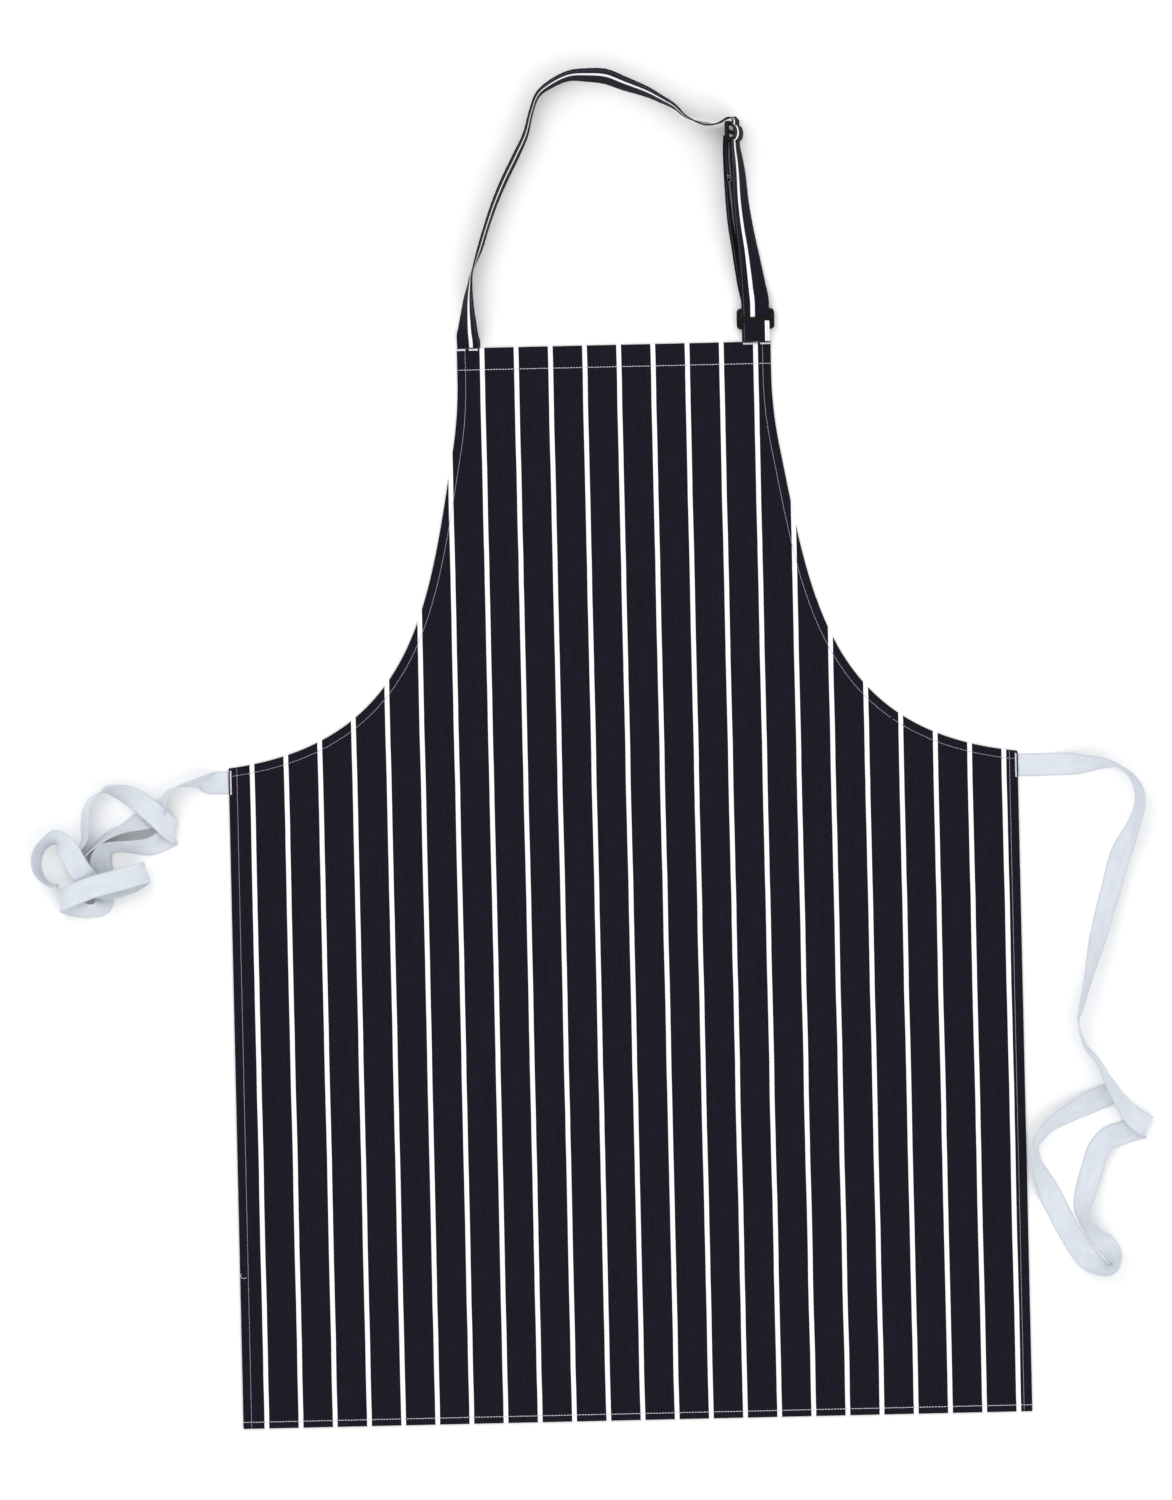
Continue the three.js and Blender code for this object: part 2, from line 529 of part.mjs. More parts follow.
// ---- bartacks and the tail's stitch row ----
function addBartacks() {
  const top = onTop + bartackHeight;
  const neckY = bibLength - bartackInset;
  for (const [name, x] of [["neck_strap", leftStrapX], ["buckle_tab", rightStrapX]]) {
    const half = strapWidth / 2 - 1;
    const row = box(x - half, x + half, neckY - bartackWidth / 2, neckY + bartackWidth / 2, onTop, top);
    addMesh("bartack_" + name, geometryFrom(row), threadWhite);
  }
  for (const [name, side] of [["left", -1], ["right", 1]]) {
    const x = side * (halfSkirt - bartackInset);
    const half = tapeWidth / 2 + 0.5;
    const row = box(x - bartackWidth / 2, x + bartackWidth / 2, -tieDrop - half, -tieDrop + half, onTop, top);
    addMesh("bartack_tie_" + name, geometryFrom(row), threadWhite);
  }
}

addBartacks();

export default apron;
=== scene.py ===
import math
import random

import bmesh
import bpy
import numpy as np
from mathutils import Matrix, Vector
from mathutils.geometry import delaunay_2d_cdt


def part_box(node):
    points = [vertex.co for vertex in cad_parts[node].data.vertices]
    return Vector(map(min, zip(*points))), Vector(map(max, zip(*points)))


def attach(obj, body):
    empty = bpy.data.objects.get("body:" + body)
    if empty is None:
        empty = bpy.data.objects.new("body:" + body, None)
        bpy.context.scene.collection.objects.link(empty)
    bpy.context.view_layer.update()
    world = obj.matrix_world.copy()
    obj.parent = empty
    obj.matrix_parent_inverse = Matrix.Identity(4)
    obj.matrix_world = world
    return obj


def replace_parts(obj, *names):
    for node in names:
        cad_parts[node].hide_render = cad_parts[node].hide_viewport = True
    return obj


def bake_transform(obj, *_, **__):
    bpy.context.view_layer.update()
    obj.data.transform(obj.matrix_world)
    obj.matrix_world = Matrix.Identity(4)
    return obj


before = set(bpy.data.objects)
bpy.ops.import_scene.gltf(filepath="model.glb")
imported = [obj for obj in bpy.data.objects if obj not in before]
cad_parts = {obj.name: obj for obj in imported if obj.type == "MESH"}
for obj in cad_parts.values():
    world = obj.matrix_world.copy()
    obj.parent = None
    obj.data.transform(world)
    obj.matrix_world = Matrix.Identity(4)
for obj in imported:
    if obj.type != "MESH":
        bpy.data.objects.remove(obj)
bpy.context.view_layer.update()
random.seed(7)

# ---- sizes, in metres unless a line says otherwise ----
STRAP_WIDTH = 0.025
STRAP_THICKNESS = 0.0012
STRAP_STEP = 0.0018  # between a strap's cross-sections
STRAP_ROW = 0.0105  # from a strap's middle to its row of stitches
TAPE_WIDTH = 0.02
TAPE_THICKNESS = 0.001
GAP = 0.0003
CLOTH = 0.0006
BORDER_TOP = 0.0021  # height of the cloth over a hem
SIDE_HEM = 0.0095
HEMS = {"top": 0.022, "bottom": 0.008, "side": SIDE_HEM, "armhole": SIDE_HEM}
STITCH_INSIDE = 0.002  # from a hem's inner edge to its row of stitches
SEWN_LIFT = 0.00008  # of the ends sewn in under a hem
BIB_STRAIGHT = 0.064  # the bib's straight edge above the armhole
CORNER_EASE = 0.034  # how far the armhole's corner is rounded, up and down
FAR = 9.0  # a distance past everything
BUCKLE_LENGTH = 0.0343
BUCKLE_THICKNESS = 0.003
BUCKLE_BAR = 0.0036
BUCKLE_SIDE = 0.0042
BUCKLE_CORNER = 0.0036
SLOT_CORNER = 0.0009
LOOP_ROOM = 0.001  # between a strap and the bar that it goes round
LOOP_SLACK = 0.0034
SLIDER_LEAN = 70  # degrees
STRIPE_PITCH = 31.15  # the stripes' sizes are in millimetres
STRIPE_OFFSET = 4.5
STRIPE_HALF = 2.05
STRAP_STRIPE = 2.5
STRAP_STRIPE_HALF = 1.95
TAB_STRIPE = -10.4

# ---- places taken from the frame, in metres ----
HEM_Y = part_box("skirt_panel")[0].y
HALF_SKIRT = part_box("skirt_panel")[1].x
TOP_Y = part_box("bib_panel")[1].y
HALF_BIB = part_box("hem_neck_edge")[1].x
LEFT_STRAP_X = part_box("neck_strap_sewn_end")[1].x - STRAP_WIDTH / 2
RIGHT_STRAP_X = (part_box("buckle_tab_sewn_end")[0].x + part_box("buckle_tab_sewn_end")[1].x) / 2
TIE_Y = (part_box("tie_sewn_end_left")[0].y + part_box("tie_sewn_end_left")[1].y) / 2
ARMHOLE_Y = TOP_Y - BIB_STRAIGHT
BIB_FOLD_Y = 0.038  # where the armhole's hem is split between the skirt and the bib
RUN_START = TOP_Y + 0.0321  # where the strap's two layers leave the lower buckle
LOOP_BEND_TOP = TOP_Y + 0.047  # and where their lowest part ends

# ---- routes of the ribbons, the same as the CAD part's ----
# Each station is x, y and lift of the lower edge in millimetres, then heading and rise of the width.
LEFT_TIE = [
    (0, 0, 0.3, 90, 0), (-13, 0, 0.3, 90, 12), (-25, 1, 0.3, 88, 58), (-34, 0, 0.3, 86, 76),
    (-44, -2, 0.3, 90, 88), (-53, -7, 0.3, -45, 77), (-59, -15, 0.3, -40, 68), (-65, -24, 0.3, -35, 38),
    (-72, -30, 1, -50, 16), (-82, -34, 0.3, -65, 38), (-95, -39, 0.3, -68, 66),
    (-108, -44, 0.3, -60, 70), (-118, -51, 0.3, -50, 76), (-127, -59, 0.3, -45, 85),
    (-134, -68, 0.3, -45, 89), (-139, -73, 0.3, 0, 89), (-142, -68, 0.3, 0, 86),
    (-138, -60, 0.3, 0, 80), (-132, -49, 0.3, 0, 72), (-131, -35, 0.3, 0, 66), (-129, -22, 0.6, -5, 66),
    (-124, -12, 0.3, -30, 76), (-117, -7, 0.6, -60, 88), (-110, -4, 1.2, 90, 70),
    (-100, -6, 3.7, 85, 48), (-87, -11, 8.8, 70, 25), (-75, -20, 13, 55, 8), (-64, -30, 13, 52, 0),
    (-56, -38, 11.5, 60, 0), (-51.5, -42.5, 8.5, 71, 0), (-50, -44, 5, 77, 0),
    (-51.5, -45.5, 1.6, 84, 0), (-58, -49.5, 0.6, 97, 10), (-72, -56, 0.3, 100, 38),
    (-90, -56, 0.9, 90, 58), (-104, -56, 0.3, 95, 62), (-114, -59, 0.6, 125, 47),
    (-118, -68, 0.3, 155, 25), (-117, -79, 0.3, 178, 6), (-117, -91, 0.3, 180, 0),
    (-116.5, -103, 0.3, 172, 10), (-119.5, -111, 0.3, 125, 42), (-128, -113.5, 0.3, 85, 54),
    (-139, -110.5, 0.8, 74, 32), (-148, -107, 2.5, 75, 12), (-153, -104.5, 6.5, 84, 0),
    (-153, -103.5, 13.5, 90, 0), (-147, -100.5, 19, 97, 0), (-128, -93, 22.3, 104, 0),
    (-109, -88, 23, 104, 0), (-91, -83.5, 21.5, 105, 0), (-80, -80.5, 18, 106, 0),
    (-75.5, -79.5, 13, 107, 0), (-78, -81, 8.6, 108, -4), (-87, -87, 6, 108, -10),
    (-104, -93, 8.5, 102, -10), (-118, -92.5, 12.8, 88, -4), (-128, -86.5, 15.5, 62, -2),
    (-134, -79, 18.7, 34, 0), (-140, -69, 22.7, 28, 0), (-146, -58, 21.3, 32, 4),
    (-153, -50.5, 13.8, 50, 26), (-159, -48, 5.7, 84, 48), (-166, -50, 1.8, 125, 64),
    (-173, -57, 1.2, 152, 66), (-176, -67, 1.1, 180, 66), (-175, -77, 0.3, 200, 72),
    (-170, -85, 0.3, 225, 80), (-163, -90, 0.3, 250, 84), (-157, -90, 0.3, 260, 84),
]
RIGHT_TIE = [
    (0, 0, 0.3, 90, 0), (24, 0, 0.3, 89, 0), (47, 0, 0.3, 90, 12), (60, 0, 0.3, 90, 38),
    (78, 0, 0.3, 85, 64), (93, -4, 0.3, 60, 86), (104, -14, 0.3, 45, 80), (109, -25, 0.3, 15, 70),
    (110, -36, 0.3, 0, 67), (104, -56, 0.3, -15, 58), (91, -84, 0.3, -20, 30), (82, -114, 0.3, -17, 33),
    (70, -155, 0.3, -19, 43), (60, -192, 0.3, -20, 71), (52, -222, 0.8, -20, 84),
    (49, -234, 1, 180, 88), (55, -257, 1.6, 195, 78), (66, -271, 2.4, 210, 76), (76, -291, 4, 212, 64),
    (90, -314, 5.4, 219, 42), (100, -325, 7.2, 224, 16), (107, -330, 8, 234, 0),
    (110.5, -331.5, 4.6, 241, 0), (107.5, -332.5, 1.3, 248, 0), (98, -334.5, 0.6, 260, 0),
    (86, -338, 0.8, 266, 0), (74, -342, 0.3, 285, 14), (65, -352, 0.3, 320, 18),
    (59, -370, 0.3, 342, 14), (52, -392, 0.3, 345, 26), (49, -407, 0.3, 0, 50), (53, -421, 0.3, 25, 64),
    (61, -430, 0.9, 42, 46), (70, -438, 1.3, 42, 28), (77, -449, 0.9, 18, 46),
    (77.5, -458, 0.8, -22, 72), (71, -462, 0.3, -66, 64), (61, -457.5, 0.3, -106, 36),
    (51, -448, 0.8, -128, 10), (37, -426, 0.3, -147, 0), (22, -395, 0.3, -152, 4),
    (13, -376, 0.3, -158, 38), (8, -362, 0.3, -172, 60), (7, -348, 0.3, 175, 68),
    (13, -337, 0.3, 150, 60), (23, -327, 0.3, 132, 50), (39, -318, 0.3, 116, 34),
    (56, -310, 0.3, 114, 16), (70, -304, 0.3, 112, 4), (78.5, -300.5, 0.3, 112, 0),
]
NECK_LONG = [
    (0, 0, 0.3, 0, 0), (0, 2, 0.3, 0, 0), (0.1, 7, 0.3, 0, 16), (0.5, 13, 0.3, 0, 37),
    (1.2, 23, 0.3, 0, 52), (1.6, 34, 0.3, 0, 63), (2.3, 45, 0.3, 0, 71), (3.8, 56, 0.3, -5, 80),
    (5.6, 67, 0.3, -15, 86), (13.3, 88, 0.3, 160, 83), (20.2, 109, 0.3, 160, 82),
    (27.5, 129, 0.3, 156, 81), (36.8, 150, 0.3, 153, 80), (47.5, 171, 0.3, 153, 80),
    (57.6, 192, 0.3, 160, 82), (63, 212, 0.3, 160, 84), (69.5, 228, 0.3, 140, 84),
    (80, 236.5, 0.3, 115, 80), (98, 244.5, 0.3, 98, 75), (115, 245, 0.3, 85, 68),
    (131.5, 243.3, 0.3, 75, 64), (148, 236.7, 0.3, 66, 67), (168.7, 228.5, 0.3, 66, 75),
    (181, 222, 0.3, 60, 81), (193.5, 214.6, 1.2, 50, 86), (204, 205, 2.4, 235, 88),
    (220, 198, 4.1, 250, 80), (229, 197, 4.8, 265, 84), (235.5, 199, 5.3, 285, 88),
    (241, 202.2, 5.6, 280, 88), (245, 202.6, 5.7, 250, 84), (247.4, 201.2, 5.8, 205, 74),
    (247.8, 199.7, 5.8, 180, 70), (247.8, 197.9, 5.8, 180, 70),
]
NECK_FRONT = [
    (-15.3, 181.1, 5.8, 180, 70), (-15.3, 179, 5.8, 180, 70), (-15, 174, 5, 180, 69),
    (-13.8, 165, 3.5, 180, 65), (-12.7, 152, 2.3, 180, 60), (-11.5, 129, 0.3, 180, 54),
    (-9.1, 106, 0.9, 180, 48), (-5.7, 83, 1.6, 180, 42), (-3.1, 62, 2.2, 180, 30),
    (-1.5, 48, 3.9, 180, 18), (-0.3, 39, 6.2, 180, 5), (0, 34.2, 6.5, 180, 0), (0, 32.1, 6.5, 180, 0),
]
NECK_RETURN = [
    (0, 32.1, 0.3, 180, 0), (0, 34.2, 0.3, 180, 0), (-0.5, 40, 0.3, 180, 3), (-3.1, 50, 0.3, 180, 14),
    (-6.1, 62, 0.3, 180, 26), (-10.9, 83, 0.3, 180, 41), (-15.8, 106, 0.3, 180, 52),
    (-18.9, 129, 0.9, 180, 60), (-21.1, 150, 1.6, 180, 67), (-22.1, 166, 2.8, 180, 70),
    (-22, 177, 3.5, 180, 70), (-21.4, 186, 3.65, 180, 70),
]
NECK_TAIL = [
    (-19.9, 186, 4.2, 180, 70), (-20.5, 177, 4.05, 180, 70), (-20.6, 166, 3.35, 180, 70),
    (-19.8, 152, 2.4, 180, 68), (-19.4, 145.5, 2.1, 180, 66),
]


# ---- meshes ----
def make_object(name, verts, faces, rest=None, body=None):
    """A smooth mesh. rest holds the flat cloth's coordinates, which the materials read."""
    mesh = bpy.data.meshes.new(name)
    mesh.from_pydata([tuple(v) for v in verts], [], [tuple(f) for f in faces])
    mesh.validate()
    mesh.polygons.foreach_set("use_smooth", [True] * len(mesh.polygons))
    if rest is not None:
        attribute = mesh.attributes.new("rest", "FLOAT_VECTOR", "POINT")
        attribute.data.foreach_set("vector", np.asarray(rest, np.float32).ravel())
    mesh.update()
    obj = bpy.data.objects.new(name, mesh)
    bpy.context.scene.collection.objects.link(obj)
    if body:
        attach(obj, body)
    return obj


def smoothstep(a, b, x):
    t = np.clip((x - a) / (b - a), 0, 1)
    return t * t * (3 - 2 * t)


# ---- the outline of the cloth ----
def armhole_curve(count):
    lean = 0.19 * (HALF_SKIRT - HALF_BIB) * 0.72
    p0 = np.array([HALF_BIB, ARMHOLE_Y])
    p1 = np.array([HALF_BIB + lean, ARMHOLE_Y * 0.537])
    p2 = np.array([HALF_BIB + lean, ARMHOLE_Y * 0.068])
    p3 = np.array([HALF_SKIRT, 0.0])
    t = np.linspace(0, 1, count)[:, None]
    return (1 - t) ** 3 * p0 + 3 * (1 - t) ** 2 * t * p1 + 3 * (1 - t) * t * t * p2 + t**3 * p3


def resample(points, step):
    points = np.asarray(points, float)
    lengths = np.hypot(*np.diff(points, axis=0).T)
    at = np.concatenate([[0], np.cumsum(lengths)])
    s = np.linspace(0, at[-1], max(2, int(round(at[-1] / step)) + 1))
    return np.stack([np.interp(s, at, points[:, i]) for i in range(points.shape[1])], 1)


def armhole_line():
    """The bib's straight edge, eased into the armhole's curve."""
    curve = armhole_curve(160)
    corner = curve[0]
    after = curve[curve[:, 1] < ARMHOLE_Y - CORNER_EASE]
    above = np.array([HALF_BIB, ARMHOLE_Y + CORNER_EASE])
    t = np.linspace(0, 1, 24)[:-1, None]
    bend = (1 - t) ** 2 * above + 2 * (1 - t) * t * corner + t * t * after[0]
    return np.vstack([[[HALF_BIB, TOP_Y]], bend, after])


ARMHOLE = armhole_line()


def edge_distances(xy):
    """How far inside each kind of edge a point lies."""
    x, y = np.abs(xy[:, 0]), xy[:, 1]
    a, b = ARMHOLE[:-1], ARMHOLE[1:]
    best = np.full(len(xy), FAR)
    for p, q in zip(a, b):
        d = q - p
        t = np.clip(((x - p[0]) * d[0] + (y - p[1]) * d[1]) / (d @ d), 0, 1)
        best = np.minimum(best, np.hypot(x - p[0] - t * d[0], y - p[1] - t * d[1]))
    return {
        "top": TOP_Y - y,
        "bottom": y - HEM_Y,
        "side": np.where(y < 0.02, HALF_SKIRT - x, FAR),
        "armhole": best,
    }


def cloth_top(xy):
    """Height of the cloth's upper face."""
    xy = np.asarray(xy, float)
    depth = edge_distances(xy)
    border = np.zeros(len(xy))
    groove = np.zeros(len(xy))
    for edge, hem in HEMS.items():
        border = np.maximum(border, 1 - smoothstep(hem - 0.0002, hem + 0.003, depth[edge]))
        row = (depth[edge] - (hem - STITCH_INSIDE)) / 0.0008
        groove = np.maximum(groove, np.exp(-row * row))
    x, y = xy[:, 0], xy[:, 1]
    nearest = np.min(list(depth.values()), axis=0)
    inner = smoothstep(0.004, 0.05, nearest)
    waves = (
        np.sin(21 * x + 6 * y + 1.3 + 1.1 * np.sin(9 * y))
        + 0.7 * np.sin(-13 * x + 17 * y + 0.4 + 0.8 * np.sin(11 * x))
        + 0.45 * np.sin(47 * x - 9 * y + 2.0 * np.sin(7 * y + 3 * x))
    )
    ripple = 0.0006 * inner * (waves + 2.15) * 0.5
    pucker = np.sin(680 * y + 4 * np.sin(60 * x)) * np.sin(610 * x + 3 * np.sin(55 * y))
    near_row = smoothstep(0.02, 0.006, nearest)
    z = CLOTH + (BORDER_TOP - CLOTH) * border + ripple - 0.00022 * groove * border
    z += 0.00012 * pucker * near_row
    roll = np.clip(1 - nearest / 0.0009, 0, 1)
    return z - 0.0008 * (1 - np.sqrt(1 - roll * roll * 0.999))


def panel_outline(step):
    right = resample(ARMHOLE, step)
    side = resample([[HALF_SKIRT, 0], [HALF_SKIRT, HEM_Y]], step)[1:]
    half = np.vstack([right, side])
    bottom = resample([[HALF_SKIRT, HEM_Y], [-HALF_SKIRT, HEM_Y]], step)[1:-1]
    left = half[::-1] * [-1, 1]
    top = resample([[-HALF_BIB, TOP_Y], [HALF_BIB, TOP_Y]], step)[1:-1]
    return np.vstack([half, bottom, left, top])[::-1]


def inward_normals(loop):
    tangent = np.roll(loop, -1, 0) - np.roll(loop, 1, 0)
    tangent /= np.hypot(*tangent.T)[:, None]
    return np.stack([-tangent[:, 1], tangent[:, 0]], 1)


def build_panel():
    outline = panel_outline(0.003)
    normals = inward_normals(outline)
    points = [outline]
    rings = [0.00015, 0.0004, 0.0008, 0.0016, 0.0028, 0.0042, 0.0052, 0.0060, 0.0068]
    rings += [0.0075, 0.0082, 0.0092, 0.0104, 0.0118, 0.0132, 0.0146]
    for depth in rings:
        ring = outline + normals * depth
        inside = np.min(list(edge_distances(ring).values()), axis=0)
        points.append(ring[inside > depth * 0.97 - 0.00002])
    xs = np.arange(-HALF_BIB + 0.016, HALF_BIB - 0.016, 0.003)
    for depth in (0.0192, 0.02, 0.0208, 0.0222, 0.0236, 0.025):
        points.append(np.stack([xs, np.full(len(xs), TOP_Y - depth)], 1))
    step = 0.0045
    gx, gy = np.meshgrid(np.arange(-0.356, 0.357, step), np.arange(HEM_Y + 0.003, TOP_Y, step))
    grid = np.stack([gx.ravel(), gy.ravel()], 1)
    depth = edge_distances(grid)
    inside = np.min(list(depth.values()), axis=0) > 0.016
    inside &= (np.abs(grid[:, 0]) < HALF_BIB) | (grid[:, 1] < armhole_limit(grid[:, 0]))
    inside &= (depth["top"] > 0.0265) | (depth["top"] < 0.018)
    points.append(grid[inside])
    xy = np.vstack(points)
    count = len(outline)
    edges = [(i, (i + 1) % count) for i in range(count)]
    out = delaunay_2d_cdt([Vector(p) for p in xy], edges, [], 1, 1e-7)
    xy = np.array([tuple(v) for v in out[0]])
    faces = [tuple(f) for f in out[2]]
    top = cloth_top(xy)
    n = len(xy)
    low = np.maximum(top - CLOTH, 0.00005)
    verts = np.vstack([np.column_stack([xy, top]), np.column_stack([xy, low])])
    under = [tuple(n + i for i in reversed(f)) for f in faces]
    border = boundary_edges(faces)
    walls = [(b, a, n + a, n + b) for a, b in border]
    rest = np.column_stack([verts[:, 0], verts[:, 1], np.zeros(2 * n)])
    return make_object("apron_panel", verts, faces + under + walls, rest)


def armhole_limit(x):
    order = np.argsort(ARMHOLE[1:, 0])
    return np.interp(np.abs(x), ARMHOLE[1:, 0][order], ARMHOLE[1:, 1][order])


def boundary_edges(faces):
    seen = {}
    for f in faces:
        for a, b in zip(f, f[1:] + f[:1]):
            if (b, a) in seen:
                del seen[(b, a)]
            else:
                seen[(a, b)] = True
    return list(seen)


# ---- hems: the cloth folded under along each edge ----
def edge_path(edge, side, low=None, high=None, step=0.003):
    """Points along one edge and their inward normals."""
    if edge == "top":
        path = resample([[-HALF_BIB, TOP_Y], [HALF_BIB, TOP_Y]], step)
        return path, np.tile([0.0, -1.0], (len(path), 1))
    if edge == "bottom":
        path = resample([[-HALF_SKIRT, HEM_Y], [HALF_SKIRT, HEM_Y]], step)
        return path, np.tile([0.0, 1.0], (len(path), 1))
    if edge == "side":
        path = resample([[side * HALF_SKIRT, HEM_Y], [side * HALF_SKIRT, 0]], step)
        return path, np.tile([-side * 1.0, 0.0], (len(path), 1))
    path = resample(ARMHOLE, step)
    tangent = np.gradient(path, axis=0)
    tangent /= np.hypot(*tangent.T)[:, None]
    normal = np.stack([tangent[:, 1], -tangent[:, 0]], 1)
    keep = (path[:, 1] >= low) & (path[:, 1] <= high)
    path, normal = path[keep], normal[keep]
    return path * [side, 1], normal * [side, 1]


def sweep(sections, rest):
    """Closed cross-sections joined along their length, with a face over each end."""
    count, k = len(sections), len(sections[0])
    verts = np.asarray(sections).reshape(-1, 3)
    faces = []
    for i in range(count - 1):
        for j in range(k):
            a, b = i * k + j, i * k + (j + 1) % k
            faces.append((a, a + k, b + k, b))
    faces.append(tuple(range(k)))
    faces.append(tuple((count - 1) * k + j for j in reversed(range(k))))
    return verts, faces, np.asarray(rest).reshape(-1, 3)


def outward(obj):
    bm = bmesh.new()
    bm.from_mesh(obj.data)
    bmesh.ops.recalc_face_normals(bm, faces=bm.faces)
    bm.to_mesh(obj.data)
    bm.free()
    obj.data.update()
    return obj


def hem_strip(name, edge, side=1, low=None, high=None, trim=(0, 0), squeeze=()):
    """A hem's folded cloth. squeeze lists (centre, half width, axis) of what is sewn in under it."""
    path, normal = edge_path(edge, side, low, high)
    if trim[0]:
        path, normal = path[trim[0] :], normal[trim[0] :]
    if trim[1]:
        path, normal = path[: -trim[1]], normal[: -trim[1]]
    width = HEMS[edge] - 0.0002
    profile = [(0.0008, 0.0), (width - 0.0003, 0.0), (width, 0.3), (width, 0.7), (width - 0.0004, 1.0)]
    profile += [(width * 0.6, 1.03), (width * 0.3, 1.0), (0.0008, 1.0), (0.00025, 0.82)]
    profile += [(0.0, 0.5), (0.00025, 0.18)]
    sections, rest = [], []
    top = 0.00132
    for i, (p, n) in enumerate(zip(path, normal)):
        bottom = 0.00006
        for centre, half, axis in squeeze:
            off = abs(p[axis] - centre) - half
            bottom = max(bottom, 0.00075 * float(1 - smoothstep(0.0004, 0.003, off)))
        wobble = 0.00018 * math.sin(i * 1.1) + 0.00012 * math.sin(i * 0.37 + 1)
        ring = []
        for d, h in profile:
            depth = d + (wobble if d > width * 0.5 else 0)
            q = p + n * depth
            ring.append((q[0], q[1], bottom + (top - bottom) * h))
            r = p - n * depth
            rest.append((r[0], r[1], 0.5))
        sections.append(ring)
    return outward(make_object(name, *sweep(sections, rest)))


# ---- stitches ----
RING = [(math.cos(a), math.sin(a)) for a in np.linspace(0, 2 * math.pi, 7)[:-1]]
# A stitch's sections: share of its length, size and height.
STITCH_SHAPE = [
    (0.0, 0.35, -0.6), (0.12, 0.85, 0.15), (0.5, 1.0, 0.45), (0.88, 0.85, 0.15), (1.0, 0.35, -0.6),
]


def stitch_mesh(ends, radius):
    """Small arched stitches, each from a to b, lying on the side that up points to."""
    verts, faces, rest = [], [], []
    for number, (a, b, up) in enumerate(ends):
        a, b, up = np.array(a, float), np.array(b, float), np.array(up, float)
        along = b - a
        length = np.linalg.norm(along)
        side = np.cross(up, along / length)
        base = len(verts)
        for t, size, height in STITCH_SHAPE:
            middle = a + along * t + up * height * radius
            for c, s in RING:
                verts.append(middle + (side * c + up * s * 0.8) * radius * size)
                rest.append((t * length * 1000, math.atan2(s, c), number * 0.37 % 1))
        k = len(RING)
        for i in range(len(STITCH_SHAPE) - 1):
            for j in range(k):
                p, q = base + i * k + j, base + i * k + (j + 1) % k
                faces.append((p, q, q + k, p + k))
        faces.append(tuple(base + j for j in reversed(range(k))))
        last = base + (len(STITCH_SHAPE) - 1) * k
        faces.append(tuple(last + j for j in range(k)))
    return verts, faces, rest


def row_stitches(path, lift, pitch):
    """Stitches along a row, above the cloth and, as the bobbin thread, below it."""
    even = resample(path, pitch)
    wander = np.array([random.gauss(0, 0.00006) for _ in even])
    ends = []
    for i in range(len(even) - 1):
        a, b = even[i], even[i + 1]
        d = (b - a) / np.linalg.norm(b - a)
        n = np.array([-d[1], d[0]])
        p = a + d * 0.00022 + n * wander[i]
        q = b - d * 0.00022 + n * wander[i + 1]
        z = cloth_top(np.array([p, q])) + lift
        ends.append(((p[0], p[1], z[0]), (q[0], q[1], z[1]), (0, 0, 1)))
        ends.append(((p[0], p[1], GAP), (q[0], q[1], GAP), (0, 0, -1)))
    return ends


def inset_row(edge, side=1, low=None, high=None):
    path, normal = edge_path(edge, side, low, high, step=0.002)
    return path + normal * (HEMS[edge] - STITCH_INSIDE)


def stitch_row(name, path, bold=False):
    """A hem's row of stitches. The rows along the neck and lower edges are bolder and closer."""
    pitch, radius = (0.0027, 0.00036) if bold else (0.0023, 0.00027)
    obj = make_object(name, *stitch_mesh(row_stitches(path, 0.00012, pitch), radius))
    return finish_piece(obj, BOLD_THREAD if bold else THREAD)


def zigzag(x0, x1, y0, y1, across, pitch):
    """A bartack: one thread going to and fro across the row. across is the row's short axis, 0 or 1."""
    low, high = (x0, x1) if across == 1 else (y0, y1)
    count = int(round((high - low) / pitch))
    points = []
    for i in range(count + 1):
        along = low + (high - low) * i / count
        jitter = random.uniform(-0.00008, 0.00008)
        end = (y0 if i % 2 else y1) if across == 1 else (x0 if i % 2 else x1)
        points.append((along, end + jitter) if across == 1 else (end + jitter, along))
    z = cloth_top(np.array(points)) + GAP
    ends = []
    for i in range(len(points) - 1):
        a = (points[i][0], points[i][1], z[i] + 0.00012 * (i % 2))
        b = (points[i + 1][0], points[i + 1][1], z[i + 1] + 0.00012 * (i % 2))
        ends.append((a, b, (0, 0, 1)))
    return ends


# ---- ribbons ----
SEAM_WIDTH = 0.84  # share of its width that a strap keeps where it is sewn into the hem
SEAM_LENGTH = 0.03  # how far from the hem it is drawn in


def drawn_in(s):
    """Share of its full width that the strap has at a length s from the hem."""
    return SEAM_WIDTH + (1 - SEAM_WIDTH) * smoothstep(0.0, SEAM_LENGTH, s)


def neighbours(points, i):
    """The two points that a stretch of the curve joins, with the ones before and after them."""
    p1, p2 = points[i], points[i + 1]
    p0 = points[i - 1] if i > 0 else 2 * p1 - p2
    p3 = points[i + 2] if i + 2 < len(points) else 2 * p2 - p1
    return p0, p1, p2, p3


def hermite(p1, p2, m1, m2, f):
    return p1 + m1 * f + (3 * (p2 - p1) - 2 * m1 - m2) * f * f + (2 * (p1 - p2) + m1 + m2) * f**3


